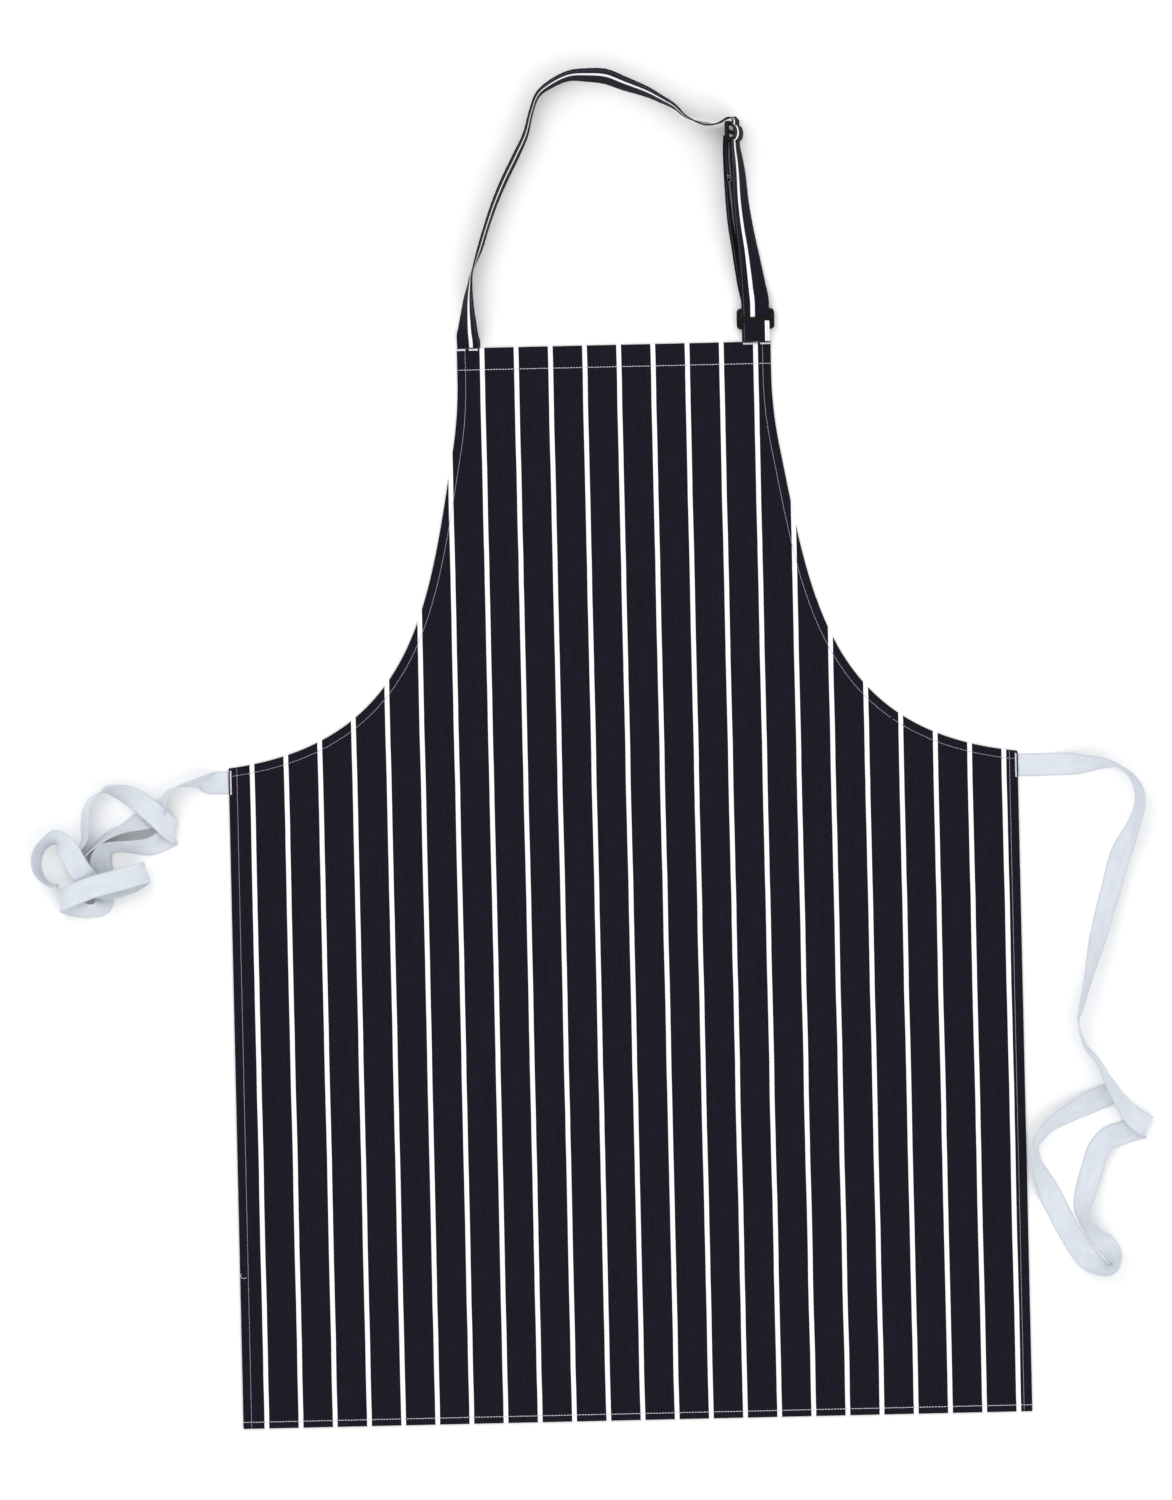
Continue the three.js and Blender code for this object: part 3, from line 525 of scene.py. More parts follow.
def centripetal(points, i, f):
    """A point on the smooth curve through the points, at share f of the way from point i to the next."""
    p0, p1, p2, p3 = neighbours(points, i)
    d1 = max(np.dot(p2 - p1, p2 - p1) ** 0.25, 1e-6)
    d0 = max(np.dot(p1 - p0, p1 - p0) ** 0.25, 1e-6)
    d2 = max(np.dot(p3 - p2, p3 - p2) ** 0.25, 1e-6)
    m1 = ((p1 - p0) / d0 - (p2 - p0) / (d0 + d1) + (p2 - p1) / d1) * d1
    m2 = ((p2 - p1) / d1 - (p3 - p1) / (d1 + d2) + (p3 - p2) / d2) * d1
    return hermite(p1, p2, m1, m2, f)


def uniform(points, i, f):
    """The same, for directions, whose spacing doesn't matter."""
    p0, p1, p2, p3 = neighbours(points, i)
    return hermite(p1, p2, (p2 - p0) / 2, (p3 - p1) / 2, f)


def ribbon_frames(stations, width, thickness, step):
    """Middles, width directions and upward normals of a ribbon's cross-sections, evenly spaced."""
    s = np.array(stations, float)
    heading, rise = np.radians(s[:, 3]), np.radians(s[:, 4])
    widths = np.stack([np.cos(rise) * np.cos(heading), np.cos(rise) * np.sin(heading), np.sin(rise)], 1)
    fine, places = [], []
    for i in range(len(s) - 1):
        for k in range(12):
            fine.append(centripetal(s[:, :3], i, k / 12))
            places.append(i + k / 12)
    fine.append(s[-1, :3])
    places.append(len(s) - 1)
    at = np.concatenate([[0], np.cumsum(np.linalg.norm(np.diff(fine, axis=0), axis=1))])
    count = max(4, int(round(at[-1] / step)))
    middles, across = [], []
    for length in np.linspace(0, at[-1], count + 1):
        place = min(float(np.interp(length, at, places)), len(s) - 1 - 1e-9)
        i, f = int(place), place - int(place)
        w = uniform(widths, i, f)
        w /= np.linalg.norm(w)
        p = centripetal(s[:, :3], i, f)
        p[2] += width / 2 * abs(w[2]) + thickness / 2 * math.sqrt(max(0, 1 - w[2] ** 2))
        middles.append(p)
        across.append(w)
    middles, across = np.array(middles), np.array(across)
    tangent = np.gradient(middles, axis=0)
    tangent /= np.linalg.norm(tangent, axis=1)[:, None]
    across -= tangent * np.sum(across * tangent, 1)[:, None]
    across /= np.linalg.norm(across, axis=1)[:, None]
    up = np.cross(across, tangent)
    reach = width / 2 * np.abs(across[:, 2]) + thickness / 2 * np.abs(up[:, 2])
    middles[:, 2] = np.maximum(middles[:, 2], reach)
    length = np.concatenate([[0], np.cumsum(np.linalg.norm(np.diff(middles, axis=0), axis=1))])
    return middles, across, up, length


def ribbon_mesh(frames, width, thickness, kind, first=0, last=None):
    """A ribbon with rounded edges. rest holds (across, along) in metres and its face."""
    middles, across, up, length = (a[first:last] for a in frames)
    flat = np.linspace(-1, 1, 11)
    upper = [(u * (width / 2 - 0.0003), 1.0) for u in flat]
    profile = upper + [(width / 2, 0.45), (width / 2, -0.45)]
    profile += [(u * (width / 2 - 0.0003), -1.0) for u in flat[::-1]]
    profile += [(-width / 2, -0.45), (-width / 2, 0.45)]
    sections, rest = [], []
    for i in range(len(middles)):
        s = length[i]
        ring = []
        for v, h in profile:
            edge = abs(v) / (width / 2)
            half = thickness / 2
            if kind in ("strap", "seam"):
                groove = 0.00018 * math.exp(-(((v - STRAP_ROW) / 0.0009) ** 2))
                half = thickness / 2 - groove + 0.00006 * math.sin(s * 900) * smoothstep(0.0, 1.0, edge)
            else:
                half = thickness / 2 * (0.8 + 0.2 * (edge > 0.85))
            scallop = 0.00008 * math.sin(s * 2100) if edge > 0.9 else 0
            share = drawn_in(s) if kind == "seam" else 1
            p = middles[i] + across[i] * (v * share + math.copysign(scallop, v)) + up[i] * half * h
            ring.append(p)
            rest.append((v, s, h))
        sections.append(ring)
    return sweep(sections, rest)


def strap_stitches(frames, thickness, v, first=0, last=None, pitch=0.0024):
    """Stitch rows on both faces of a strap, at v across it."""
    middles, across, up, length = (a[first:last] for a in frames)
    s = length - length[0]
    count = max(1, int(s[-1] / pitch))
    ends = []
    row = middles + across * (np.asarray(v)[first:last, None] if np.ndim(v) else v)
    for i in range(count):
        sa = (i + 0.09) * s[-1] / count
        sb = (i + 0.91) * s[-1] / count
        a = np.array([np.interp(sa, s, row[:, k]) for k in range(3)])
        b = np.array([np.interp(sb, s, row[:, k]) for k in range(3)])
        n = np.array([np.interp((sa + sb) / 2, s, up[:, k]) for k in range(3)])
        n /= np.linalg.norm(n)
        lift = thickness / 2 - 0.0001
        ends.append((a + n * lift, b + n * lift, n))
        ends.append((a - n * lift, b - n * lift, -n))
    return ends


# ---- materials ----
class Nodes:
    """A short way to write shader nodes."""

    def __init__(self, name):
        self.material = bpy.data.materials.new(name)
        self.material.use_nodes = True
        self.tree = self.material.node_tree
        self.shader = self.tree.nodes["Principled BSDF"]

    def put(self, kind, **settings):
        node = self.tree.nodes.new(kind)
        inputs = settings.pop("inputs", {})
        for key, value in settings.items():
            setattr(node, key, value)
        for key, value in inputs.items():
            self.feed(node.inputs[key], value)
        return node

    def feed(self, socket, value):
        if isinstance(value, bpy.types.NodeSocket):
            self.tree.links.new(value, socket)
        else:
            socket.default_value = value

    def math(self, operation, a, b=0.0, c=0.0):
        return self.put("ShaderNodeMath", operation=operation, inputs={0: a, 1: b, 2: c}).outputs[0]

    def ramp(self, value, low, high, to_low=0.0, to_high=1.0):
        node = self.put("ShaderNodeMapRange", interpolation_type="SMOOTHSTEP")
        for key, v in zip(range(5), (value, low, high, to_low, to_high)):
            self.feed(node.inputs[key], v)
        return node.outputs[0]

    def mix(self, share, a, b):
        node = self.put("ShaderNodeMix", data_type="RGBA")
        self.feed(node.inputs[0], share)
        self.feed(node.inputs[6], a)
        self.feed(node.inputs[7], b)
        return node.outputs[2]

    def noise(self, vector, scale=1.0, detail=2.0, roughness=0.5):
        inputs = {"Vector": vector, "Scale": scale, "Detail": detail, "Roughness": roughness}
        return self.put("ShaderNodeTexNoise", inputs=inputs).outputs["Fac"]

    def cloth_noise(self, x, y, x_scale, y_scale, detail=2.0, roughness=0.5):
        """Noise over the flat cloth, stretched along one of its directions."""
        place = self.vector(self.math("MULTIPLY", x, x_scale), self.math("MULTIPLY", y, y_scale))
        return self.noise(place, 1.0, detail, roughness)

    def vector(self, x, y, z=0.0):
        return self.put("ShaderNodeCombineXYZ", inputs={0: x, 1: y, 2: z}).outputs[0]

    def rest(self):
        """The flat cloth's own coordinates in millimetres, which stay with it as it moves."""
        attribute = self.put("ShaderNodeAttribute", attribute_name="rest")
        split = self.put("ShaderNodeSeparateXYZ", inputs={0: attribute.outputs["Vector"]})
        x = self.math("MULTIPLY", split.outputs[0], 1000.0)
        y = self.math("MULTIPLY", split.outputs[1], 1000.0)
        return x, y, split.outputs[2]

    def bump(self, height, strength, distance):
        inputs = {"Height": height, "Strength": strength, "Distance": distance}
        node = self.put("ShaderNodeBump", inputs=inputs)
        self.feed(self.shader.inputs["Normal"], node.outputs[0])


def twill(n, x, y, size=0.55):
    """Height of a twill weave: diagonal ribs of crossing yarns."""
    turn = 2 * math.pi / size
    rib = n.math("SINE", n.math("MULTIPLY", n.math("ADD", x, n.math("MULTIPLY", y, 0.62)), turn))
    weft = n.math("SINE", n.math("MULTIPLY", y, turn * 0.9))
    fuzz = n.cloth_noise(x, y, 2.2, 1.6, 3.0, 0.65)
    mixed = n.math("ADD", n.math("MULTIPLY", rib, 0.5), n.math("MULTIPLY", weft, 0.22))
    return n.math("ADD", mixed, n.math("MULTIPLY", fuzz, 1.1))


def navy_cloth(name, stripe):
    """Navy-black cotton with woven white stripes. stripe is "repeat", or a stripe's middle across a strap."""
    n = Nodes(name)
    x, y, _ = n.rest()
    slow = n.cloth_noise(x, y, 0.004, 0.012, 2.0)
    wander = n.math("MULTIPLY", n.math("SUBTRACT", slow, 0.5), 1.1)
    ragged = n.cloth_noise(x, y, 1.2, 2.6, 1.0)
    ragged = n.math("MULTIPLY", n.math("SUBTRACT", ragged, 0.5), 0.5)
    if stripe == "repeat":
        place = n.math("SUBTRACT", n.math("ADD", x, wander), STRIPE_OFFSET)
        from_middle = n.math("PINGPONG", place, STRIPE_PITCH / 2)
        half = STRIPE_HALF
        signed = n.math("WRAP", place, STRIPE_PITCH / 2, -STRIPE_PITCH / 2)
    else:
        signed = n.math("SUBTRACT", x, stripe)
        from_middle = n.math("ABSOLUTE", signed)
        half = STRAP_STRIPE_HALF
    from_middle = n.math("ADD", from_middle, ragged)
    white = n.ramp(from_middle, half - 0.14, half + 0.18, 1.0, 0.0)
    streak = n.cloth_noise(x, y, 0.55, 0.018, 3.0, 0.6)
    mottle = n.cloth_noise(x, y, 0.11, 0.11, 3.0, 0.6)
    grain = n.cloth_noise(x, y, 1.4, 0.7, 2.0, 0.7)
    dark = n.mix(n.ramp(streak, 0.32, 0.68), NAVY_DEEP, NAVY)
    dark = n.mix(n.ramp(mottle, 0.35, 0.7, 0.0, 0.55), dark, NAVY_BLUE)
    dark = n.mix(n.ramp(grain, 0.55, 0.8, 0.0, 0.5), dark, NAVY_LIGHT)
    pale = n.mix(n.ramp(signed, -0.6, 0.5), STRIPE_BLUISH, STRIPE_WHITE)
    pale = n.mix(n.ramp(grain, 0.35, 0.7, 0.22, 0.0), pale, STRIPE_SHADE)
    colour = n.mix(white, dark, pale)
    n.feed(n.shader.inputs["Base Color"], colour)
    rough = n.ramp(grain, 0.2, 0.8, 0.78, 0.94)
    n.feed(n.shader.inputs["Roughness"], rough)
    n.shader.inputs["Specular IOR Level"].default_value = 0.12
    n.shader.inputs["Sheen Weight"].default_value = 0.04
    n.shader.inputs["Sheen Roughness"].default_value = 0.5
    weave = n.math("ADD", twill(n, x, y), n.math("MULTIPLY", white, 0.5))
    n.bump(weave, 0.5, 0.00012)
    return n.material


def woven_tape(name):
    """Cool white cotton tape: fine ribs across it, firmer selvedges and a soft grey unevenness, with painted
    shade in the weave's low places and along both edges.
    """
    n = Nodes(name)
    x, y, _ = n.rest()
    ribs = n.math("SINE", n.math("MULTIPLY", y, 2 * math.pi / 0.95))
    warp = n.math("SINE", n.math("MULTIPLY", x, 2 * math.pi / 0.8))
    plain = n.math("MULTIPLY", ribs, warp)
    edge = n.ramp(n.math("ABSOLUTE", x), 8.6, 9.2)
    height = n.math("ADD", n.math("MULTIPLY", ribs, 0.45), n.math("MULTIPLY", plain, 0.4))
    height = n.math("ADD", height, n.math("MULTIPLY", edge, 0.8))
    uneven = n.cloth_noise(x, y, 0.12, 0.05, 3.0, 0.6)
    fibre = n.cloth_noise(x, y, 1.6, 0.9, 2.0, 0.7)
    colour = n.mix(n.ramp(uneven, 0.3, 0.7), TAPE_WHITE, TAPE_GREY)
    # painted shade: darker in the low places of the weave
    colour = n.mix(n.ramp(height, -0.7, -0.1, 0.3, 0.0), colour, TAPE_SHADE)
    # painted shade: darker along both edges of the tape
    colour = n.mix(n.ramp(edge, 0.2, 0.9, 0.0, 0.35), colour, TAPE_SHADE)
    colour = n.mix(n.ramp(fibre, 0.5, 0.8, 0.0, 0.3), colour, TAPE_WHITE)
    n.feed(n.shader.inputs["Base Color"], colour)
    n.feed(n.shader.inputs["Roughness"], n.ramp(fibre, 0.2, 0.8, 0.8, 0.95))
    n.shader.inputs["Specular IOR Level"].default_value = 0.25
    n.shader.inputs["Sheen Weight"].default_value = 0.1
    n.bump(n.math("ADD", height, n.math("MULTIPLY", fibre, 0.8)), 0.45, 0.00014)
    return n.material


def thread_material(name, pale, shade):
    """Sewing thread: two plies twisted round each other, with painted shade in the groove between them."""
    n = Nodes(name)
    attribute = n.put("ShaderNodeAttribute", attribute_name="rest")
    split = n.put("ShaderNodeSeparateXYZ", inputs={0: attribute.outputs["Vector"]})
    along, around, which = split.outputs
    phase = n.math("ADD", n.math("MULTIPLY", along, 2 * math.pi / 0.55), n.math("MULTIPLY", around, 2.0))
    twist = n.math("SINE", phase)
    varied = n.noise(n.vector(n.math("MULTIPLY", which, 31.0), n.math("MULTIPLY", along, 0.7)), 1.0, 1.0)
    # painted shade: darker in the groove between the plies
    colour = n.mix(n.ramp(twist, -1.0, 0.4, 0.65, 0.0), pale, shade)
    # stitches that differ at random in tone, darkened towards the same colour
    colour = n.mix(n.ramp(varied, 0.35, 0.75, 0.0, 0.35), colour, shade)
    n.feed(n.shader.inputs["Base Color"], colour)
    n.feed(n.shader.inputs["Roughness"], n.ramp(varied, 0.2, 0.8, 0.55, 0.75))
    n.shader.inputs["Specular IOR Level"].default_value = 0.35
    n.bump(twist, 0.5, 0.00008)
    return n.material


def moulded_plastic(name):
    """Gloss black moulded plastic with a fine spark texture, faint scuffs and a warm tint."""
    n = Nodes(name)
    place = n.put("ShaderNodeTexCoord").outputs["Object"]
    fine = n.noise(place, 2600.0, 3.0, 0.6)
    cloudy = n.noise(place, 160.0, 3.0, 0.6)
    stretched = n.put("ShaderNodeMapping", inputs={0: place, 3: (900.0, 90.0, 400.0)}).outputs[0]
    scuff = n.noise(stretched, 1.0, 3.0, 0.7)
    colour = n.mix(n.ramp(cloudy, 0.35, 0.7), PLASTIC, PLASTIC_BROWN)
    colour = n.mix(n.ramp(scuff, 0.62, 0.8, 0.0, 0.5), colour, PLASTIC_SCUFF)
    n.feed(n.shader.inputs["Base Color"], colour)
    rough = n.math("ADD", n.ramp(cloudy, 0.3, 0.7, 0.22, 0.36), n.ramp(scuff, 0.6, 0.8, 0.0, 0.2))
    n.feed(n.shader.inputs["Roughness"], rough)
    n.shader.inputs["Specular IOR Level"].default_value = 0.13
    n.bump(n.math("ADD", fine, n.math("MULTIPLY", cloudy, 0.8)), 0.25, 0.00006)
    return n.material


NAVY = (0.0072, 0.0062, 0.0125, 1)
NAVY_DEEP = (0.0048, 0.0040, 0.0085, 1)
NAVY_BLUE = (0.0062, 0.0062, 0.0190, 1)
NAVY_LIGHT = (0.0180, 0.0165, 0.0310, 1)
STRIPE_WHITE = (0.97, 0.97, 0.97, 1)
STRIPE_BLUISH = (0.88, 0.93, 0.97, 1)
STRIPE_SHADE = (0.76, 0.79, 0.86, 1)
TAPE_WHITE = (0.67, 0.71, 0.765, 1)
TAPE_GREY = (0.61, 0.65, 0.71, 1)
# painted shade for the tape's weave hollows and edges
TAPE_SHADE = (0.42, 0.45, 0.51, 1)
# Each thread's second colour is its painted shade between the plies, and also the darker tone of stitches
# that differ at random.
THREAD_PALE = (0.50, 0.48, 0.60, 1)
THREAD_SHADE = (0.24, 0.22, 0.31, 1)
STRAP_THREAD_PALE = (0.23, 0.22, 0.27, 1)
STRAP_THREAD_SHADE = (0.10, 0.09, 0.13, 1)
BOLD_PALE = (0.74, 0.72, 0.84, 1)
BOLD_SHADE = (0.40, 0.38, 0.50, 1)
BARTACK_PALE = (0.90, 0.91, 0.95, 1)
BARTACK_SHADE = (0.60, 0.60, 0.68, 1)
PLASTIC = (0.0022, 0.0020, 0.0020, 1)
PLASTIC_BROWN = (0.0060, 0.0046, 0.0040, 1)
PLASTIC_SCUFF = (0.022, 0.019, 0.018, 1)

PANEL_CLOTH = navy_cloth("striped_cloth", "repeat")
STRAP_CLOTH = navy_cloth("strap_cloth", STRAP_STRIPE)
TAB_CLOTH = navy_cloth("tab_cloth", TAB_STRIPE)
TAPE = woven_tape("white_tape_weave")
THREAD = thread_material("seam_thread", THREAD_PALE, THREAD_SHADE)
STRAP_THREAD = thread_material("strap_thread", STRAP_THREAD_PALE, STRAP_THREAD_SHADE)
BOLD_THREAD = thread_material("bold_seam_thread", BOLD_PALE, BOLD_SHADE)
BARTACK_THREAD = thread_material("bartack_thread", BARTACK_PALE, BARTACK_SHADE)
BLACK_PLASTIC = moulded_plastic("moulded_black")


def finish_piece(obj, material):
    obj.data.materials.append(material)
    return obj


def across_fold(obj):
    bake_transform(obj)


def make_panel():
    panel = finish_piece(build_panel(), PANEL_CLOTH)
    across_fold(panel)
    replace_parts(panel, "skirt_panel", "bib_panel")
    return panel


def stand_for(obj, node, body):
    """Rides on its body, or stays where it lies when body is None, and replaces its CAD node."""
    if body:
        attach(obj, body)
    else:
        across_fold(obj)
    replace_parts(obj, node)
    return obj


def make_hem(name, node, body, edge, *place, **settings):
    obj = finish_piece(hem_strip(name, edge, *place, **settings), PANEL_CLOTH)
    return stand_for(obj, node, body)


BIB_HEM_TOP = TOP_Y - 0.0225  # the armhole's hem stops short of the neck's
SIDES = (("left", -1), ("right", 1))


def make_hems():
    strap = [(abs(LEFT_STRAP_X), STRAP_WIDTH / 2, 0)]
    tie = [(abs(TIE_Y), TAPE_WIDTH / 2, 1)]
    made = [
        make_hem("hem_neck_edge_fold", "hem_neck_edge", "bib", "top", squeeze=strap),
        make_hem("hem_lower_edge_fold", "hem_lower_edge", "skirt", "bottom"),
    ]
    for name, side in SIDES:
        bib = (side, BIB_FOLD_Y, BIB_HEM_TOP)
        skirt = (side, -1, BIB_FOLD_Y + 0.0001, (0, 4))
        made += [
            make_hem("hem_armhole_bib_fold_" + name, "hem_armhole_bib_" + name, None, "armhole", *bib),
            make_hem("hem_armhole_skirt_fold_" + name, "hem_armhole_skirt_" + name, None, "armhole", *skirt),
            make_hem(
                "hem_side_fold_" + name, "hem_side_" + name, "skirt", "side", side, trim=(3, 4), squeeze=tie
            ),
        ]
    return made


def make_stitches():
    neck = stitch_row("stitch_neck_edge_row", inset_row("top"), bold=True)
    lower = stitch_row("stitch_lower_edge_row", inset_row("bottom"), bold=True)
    made = [stand_for(neck, "stitch_neck_edge", "bib"), stand_for(lower, "stitch_lower_edge", "skirt")]
    for name, side in SIDES:
        bib = stitch_row("stitch_armhole_bib_row_" + name, inset_row("armhole", side, BIB_FOLD_Y, TOP_Y))
        skirt = stitch_row("stitch_armhole_skirt_row_" + name, inset_row("armhole", side, -1, BIB_FOLD_Y))
        edge = stitch_row("stitch_side_row_" + name, inset_row("side", side))
        made += [
            stand_for(bib, "stitch_armhole_bib_" + name, None),
            stand_for(skirt, "stitch_armhole_skirt_" + name, None),
            stand_for(edge, "stitch_side_" + name, "skirt"),
        ]
    return made


def loose_thread():
    """A stray end of the side seam's thread."""
    points = [
        (-0.35805, -0.4605), (-0.3592, -0.4622), (-0.3583, -0.4641), (-0.3560, -0.4650), (-0.3537, -0.4641),
    ]
    z = cloth_top(np.array(points)) + GAP
    ends = []
    for i in range(len(points) - 1):
        ends.append(((*points[i], z[i]), (*points[i + 1], z[i + 1]), (0, 0, 1)))
    obj = make_object("stitch_side_loose_end", *stitch_mesh(ends, 0.00022), body="skirt")
    return finish_piece(obj, BARTACK_THREAD)


# Each bartack over a strap is in two, with the strap's white stripe between them.
STRAP_BARTACKS = {
    "bartack_neck_strap": [(-0.1436, -0.1352), (-0.1319, -0.1239)],
    "bartack_buckle_tab": [(0.1180, 0.1299), (0.1334, 0.1424)],
}


def make_bartack(name, node, body, ends, radius):
    obj = make_object(name, *stitch_mesh(ends, radius), body=body)
    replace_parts(finish_piece(obj, BARTACK_THREAD), node)


def make_bartacks():
    for node, spans in STRAP_BARTACKS.items():
        ends = []
        for x0, x1 in spans:
            ends += zigzag(x0, x1, TOP_Y - 0.0026, TOP_Y - 0.0007, 1, 0.00042)
        make_bartack(node + "_zigzag", node, "bib", ends, 0.0003)
    for name, side in SIDES:
        x0, x1 = sorted((side * (HALF_SKIRT - 0.0010), side * (HALF_SKIRT - 0.0026)))
        y0, y1 = TIE_Y - TAPE_WIDTH / 2 - 0.0008, TIE_Y + TAPE_WIDTH / 2 + 0.0008
        ends = zigzag(x0, x1, y0, y1, 0, 0.00048)
        make_bartack("bartack_tie_zigzag_" + name, "bartack_tie_" + name, "skirt", ends, 0.00026)


# ---- straps, tab and ties ----
def placed(stations, x, y):
    """Stations in millimetres as metres on the table. Rounding keeps them free of the division's error."""
    moved = []
    for *place, heading, rise in stations:
        dx, dy, lift = (round(v / 1000, 8) for v in place)
        moved.append((x + dx, y + dy, lift, heading, rise))
    return moved


def strap_piece(name, frames, first, last, kind="strap", material=STRAP_CLOTH, rows=(STRAP_ROW,)):
    """A stretch of strap between two cross-sections, and its stitches."""
    obj = make_object(name, *ribbon_mesh(frames, STRAP_WIDTH, STRAP_THICKNESS, kind, first, last))
    outward(obj)
    finish_piece(obj, material)
    ends = []
    for v in rows:
        if kind == "seam":
            v = v * drawn_in(frames[3])
        ends += strap_stitches(frames, STRAP_THICKNESS, v, first, last)
    row = make_object(name + "_stitches", *stitch_mesh(ends, 0.0002))
    finish_piece(row, STRAP_THREAD)
    return obj, row


def at_height(frames, y):
    """Index of the cross-section nearest a height on the table."""
    return int(np.argmin(np.abs(frames[0][:, 1] - y)))


def lay_strap(name, node, frames, motion, first=0, last=None, **look):
    """A strap piece that rides on a body where motion names just one, and stands for a CAD node if it has
    one.
    """
    strap, row = strap_piece(name, frames, first, last, **look)
    for part in (strap, row):
        (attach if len(motion) == 1 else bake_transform)(part, *motion)
    if node:
        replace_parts(strap, node)


# Bodies on either side of a stretch of strap, and a start and an end point for it.
BEND_AT_NECK = ("bib", "neck_strap", (0, TOP_Y + 0.0006, 0), (0, TOP_Y + 0.02, 0))
BEND_LONG_RUN = ("neck_strap", "slider", (0.025, 0.624, 0), (0.114, 0.576, 0))
BEND_AT_BUCKLE = ("neck_strap", "lower_buckle", (0, LOOP_BEND_TOP, 0), (0, RUN_START, 0))
BEND_BUCKLE_RUN = ("neck_strap", "slider", (0.1297, 0.428, 0), (0.1144, 0.5585, 0))
BEND_TAB = ("bib", "neck_strap", (0, TOP_Y + 0.0005, 0), (0, TOP_Y + 0.008, 0))
BASE_TOP = TOP_Y + 0.03  # where the long run's base ends
SEAM_SHIFT = 0.0014  # keeps the drawn-in strap beside its bartack


def make_long_run():
    """The strap from the neck edge round to the slider: a base at the bib, and the rest."""
    stations = placed(NECK_LONG, LEFT_STRAP_X, TOP_Y + GAP)
    frames = ribbon_frames(stations, STRAP_WIDTH, STRAP_THICKNESS, STRAP_STEP)
    frames[0][:, 0] += SEAM_SHIFT * (1 - smoothstep(0.0, SEAM_LENGTH, frames[3]))
    cut = at_height(frames, BASE_TOP)
    lay_strap("neck_strap_base", None, frames, BEND_AT_NECK, 0, cut + 1, kind="seam")
    lay_strap("neck_strap_long_run_cloth", "neck_strap_long_run", frames, BEND_LONG_RUN, cut, kind="seam")


def make_buckle_runs():
    """The two layers between the lower buckle and the slider. Their lowest part is a piece of its own."""
    for name, route in (("front", NECK_FRONT[::-1]), ("return", NECK_RETURN)):
        node = "neck_strap_%s_run" % name
        frames = ribbon_frames(placed(route, RIGHT_STRAP_X, TOP_Y), STRAP_WIDTH, STRAP_THICKNESS, STRAP_STEP)
        cut = at_height(frames, LOOP_BEND_TOP)
        lay_strap("neck_strap_%s_base" % name, None, frames, BEND_AT_BUCKLE, 0, cut + 1)
        lay_strap(node + "_cloth", node, frames, BEND_BUCKLE_RUN, cut)


def make_tail():
    """The strap's loose end, with two rows of stitches across it."""
    stations = placed(NECK_TAIL, RIGHT_STRAP_X, TOP_Y)
    frames = ribbon_frames(stations, STRAP_WIDTH, STRAP_THICKNESS, STRAP_STEP)
    both_rows = (STRAP_ROW, -STRAP_ROW)
    lay_strap("neck_strap_tail_cloth", "neck_strap_tail", frames, ("slider",), rows=both_rows)
    middles, across, up, _ = frames
    end = len(middles) - 2
    ends = []
    for back in (0.0016, 0.0030):
        place = end - int(round(back / STRAP_STEP))
        for k in range(9):
            v0, v1 = (-STRAP_ROW + 0.00235 * k, -STRAP_ROW + 0.00235 * (k + 0.9))
            lift = up[place] * (STRAP_THICKNESS / 2)
            for face in (1, -1):
                a = middles[place] + across[place] * v0 + lift * face
                b = middles[place] + across[place] * v1 + lift * face
                ends.append((a, b, up[place] * face))
    row = make_object("neck_strap_tail_end_stitches", *stitch_mesh(ends, 0.0003), body="slider")
    finish_piece(row, BARTACK_THREAD)


def make_sewn_ends():
    """The ends of the strap and the tab, flat under the neck hem."""
    for node in ("neck_strap_sewn_end", "buckle_tab_sewn_end"):
        low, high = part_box(node)
        x, width = (low.x + high.x) / 2, high.x - low.x
        stations = [(x, high.y - i * (high.y - low.y) / 3, SEWN_LIFT, 180, 0) for i in range(4)]
        frames = ribbon_frames(stations, width, CLOTH, STRAP_STEP)
        obj = make_object(node + "_cloth", *ribbon_mesh(frames, width, CLOTH, "plain"))
        outward(obj)
        finish_piece(obj, STRAP_CLOTH)
        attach(obj, "bib")
        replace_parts(obj, node)


def make_ties():
    """Each tie, and its end sewn in at its side seam."""
    for (name, side), route in zip(SIDES, (LEFT_TIE, RIGHT_TIE)):
        body = "tie_" + name
        stations = placed(route, side * (HALF_SKIRT + GAP), TIE_Y)
        frames = ribbon_frames(stations, TAPE_WIDTH, TAPE_THICKNESS, 0.0016)
        tie = make_object(body + "_tape", *ribbon_mesh(frames, TAPE_WIDTH, TAPE_THICKNESS, "tape"))
        outward(tie)
        finish_piece(tie, TAPE)
        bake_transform(tie)
        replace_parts(tie, body)
        low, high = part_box("tie_sewn_end_" + name)
        xs = [low.x, (low.x + high.x) / 2, high.x]
        stations = [(x, TIE_Y, SEWN_LIFT, 90, 0) for x in xs]
        frames = ribbon_frames(stations, TAPE_WIDTH, CLOTH, 0.001)
        end = make_object("tie_sewn_end_tape_" + name, *ribbon_mesh(frames, TAPE_WIDTH, CLOTH, "tape"))
        outward(end)
        finish_piece(end, TAPE)
        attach(end, "skirt")
        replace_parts(end, "tie_sewn_end_" + name)


# ---- buckles ----
def rounded_rectangle(half_x, half_y, radius, steps=6):
    points = []
    for cx, cy, turn in ((1, 1, 0), (-1, 1, 90), (-1, -1, 180), (1, -1, 270)):
        for a in np.linspace(0, 90, steps + 1):
            r = math.radians(turn + a)
            x = cx * (half_x - radius) + radius * math.cos(r)
            y = cy * (half_y - radius) + radius * math.sin(r)
            points.append((x, y))
    return points


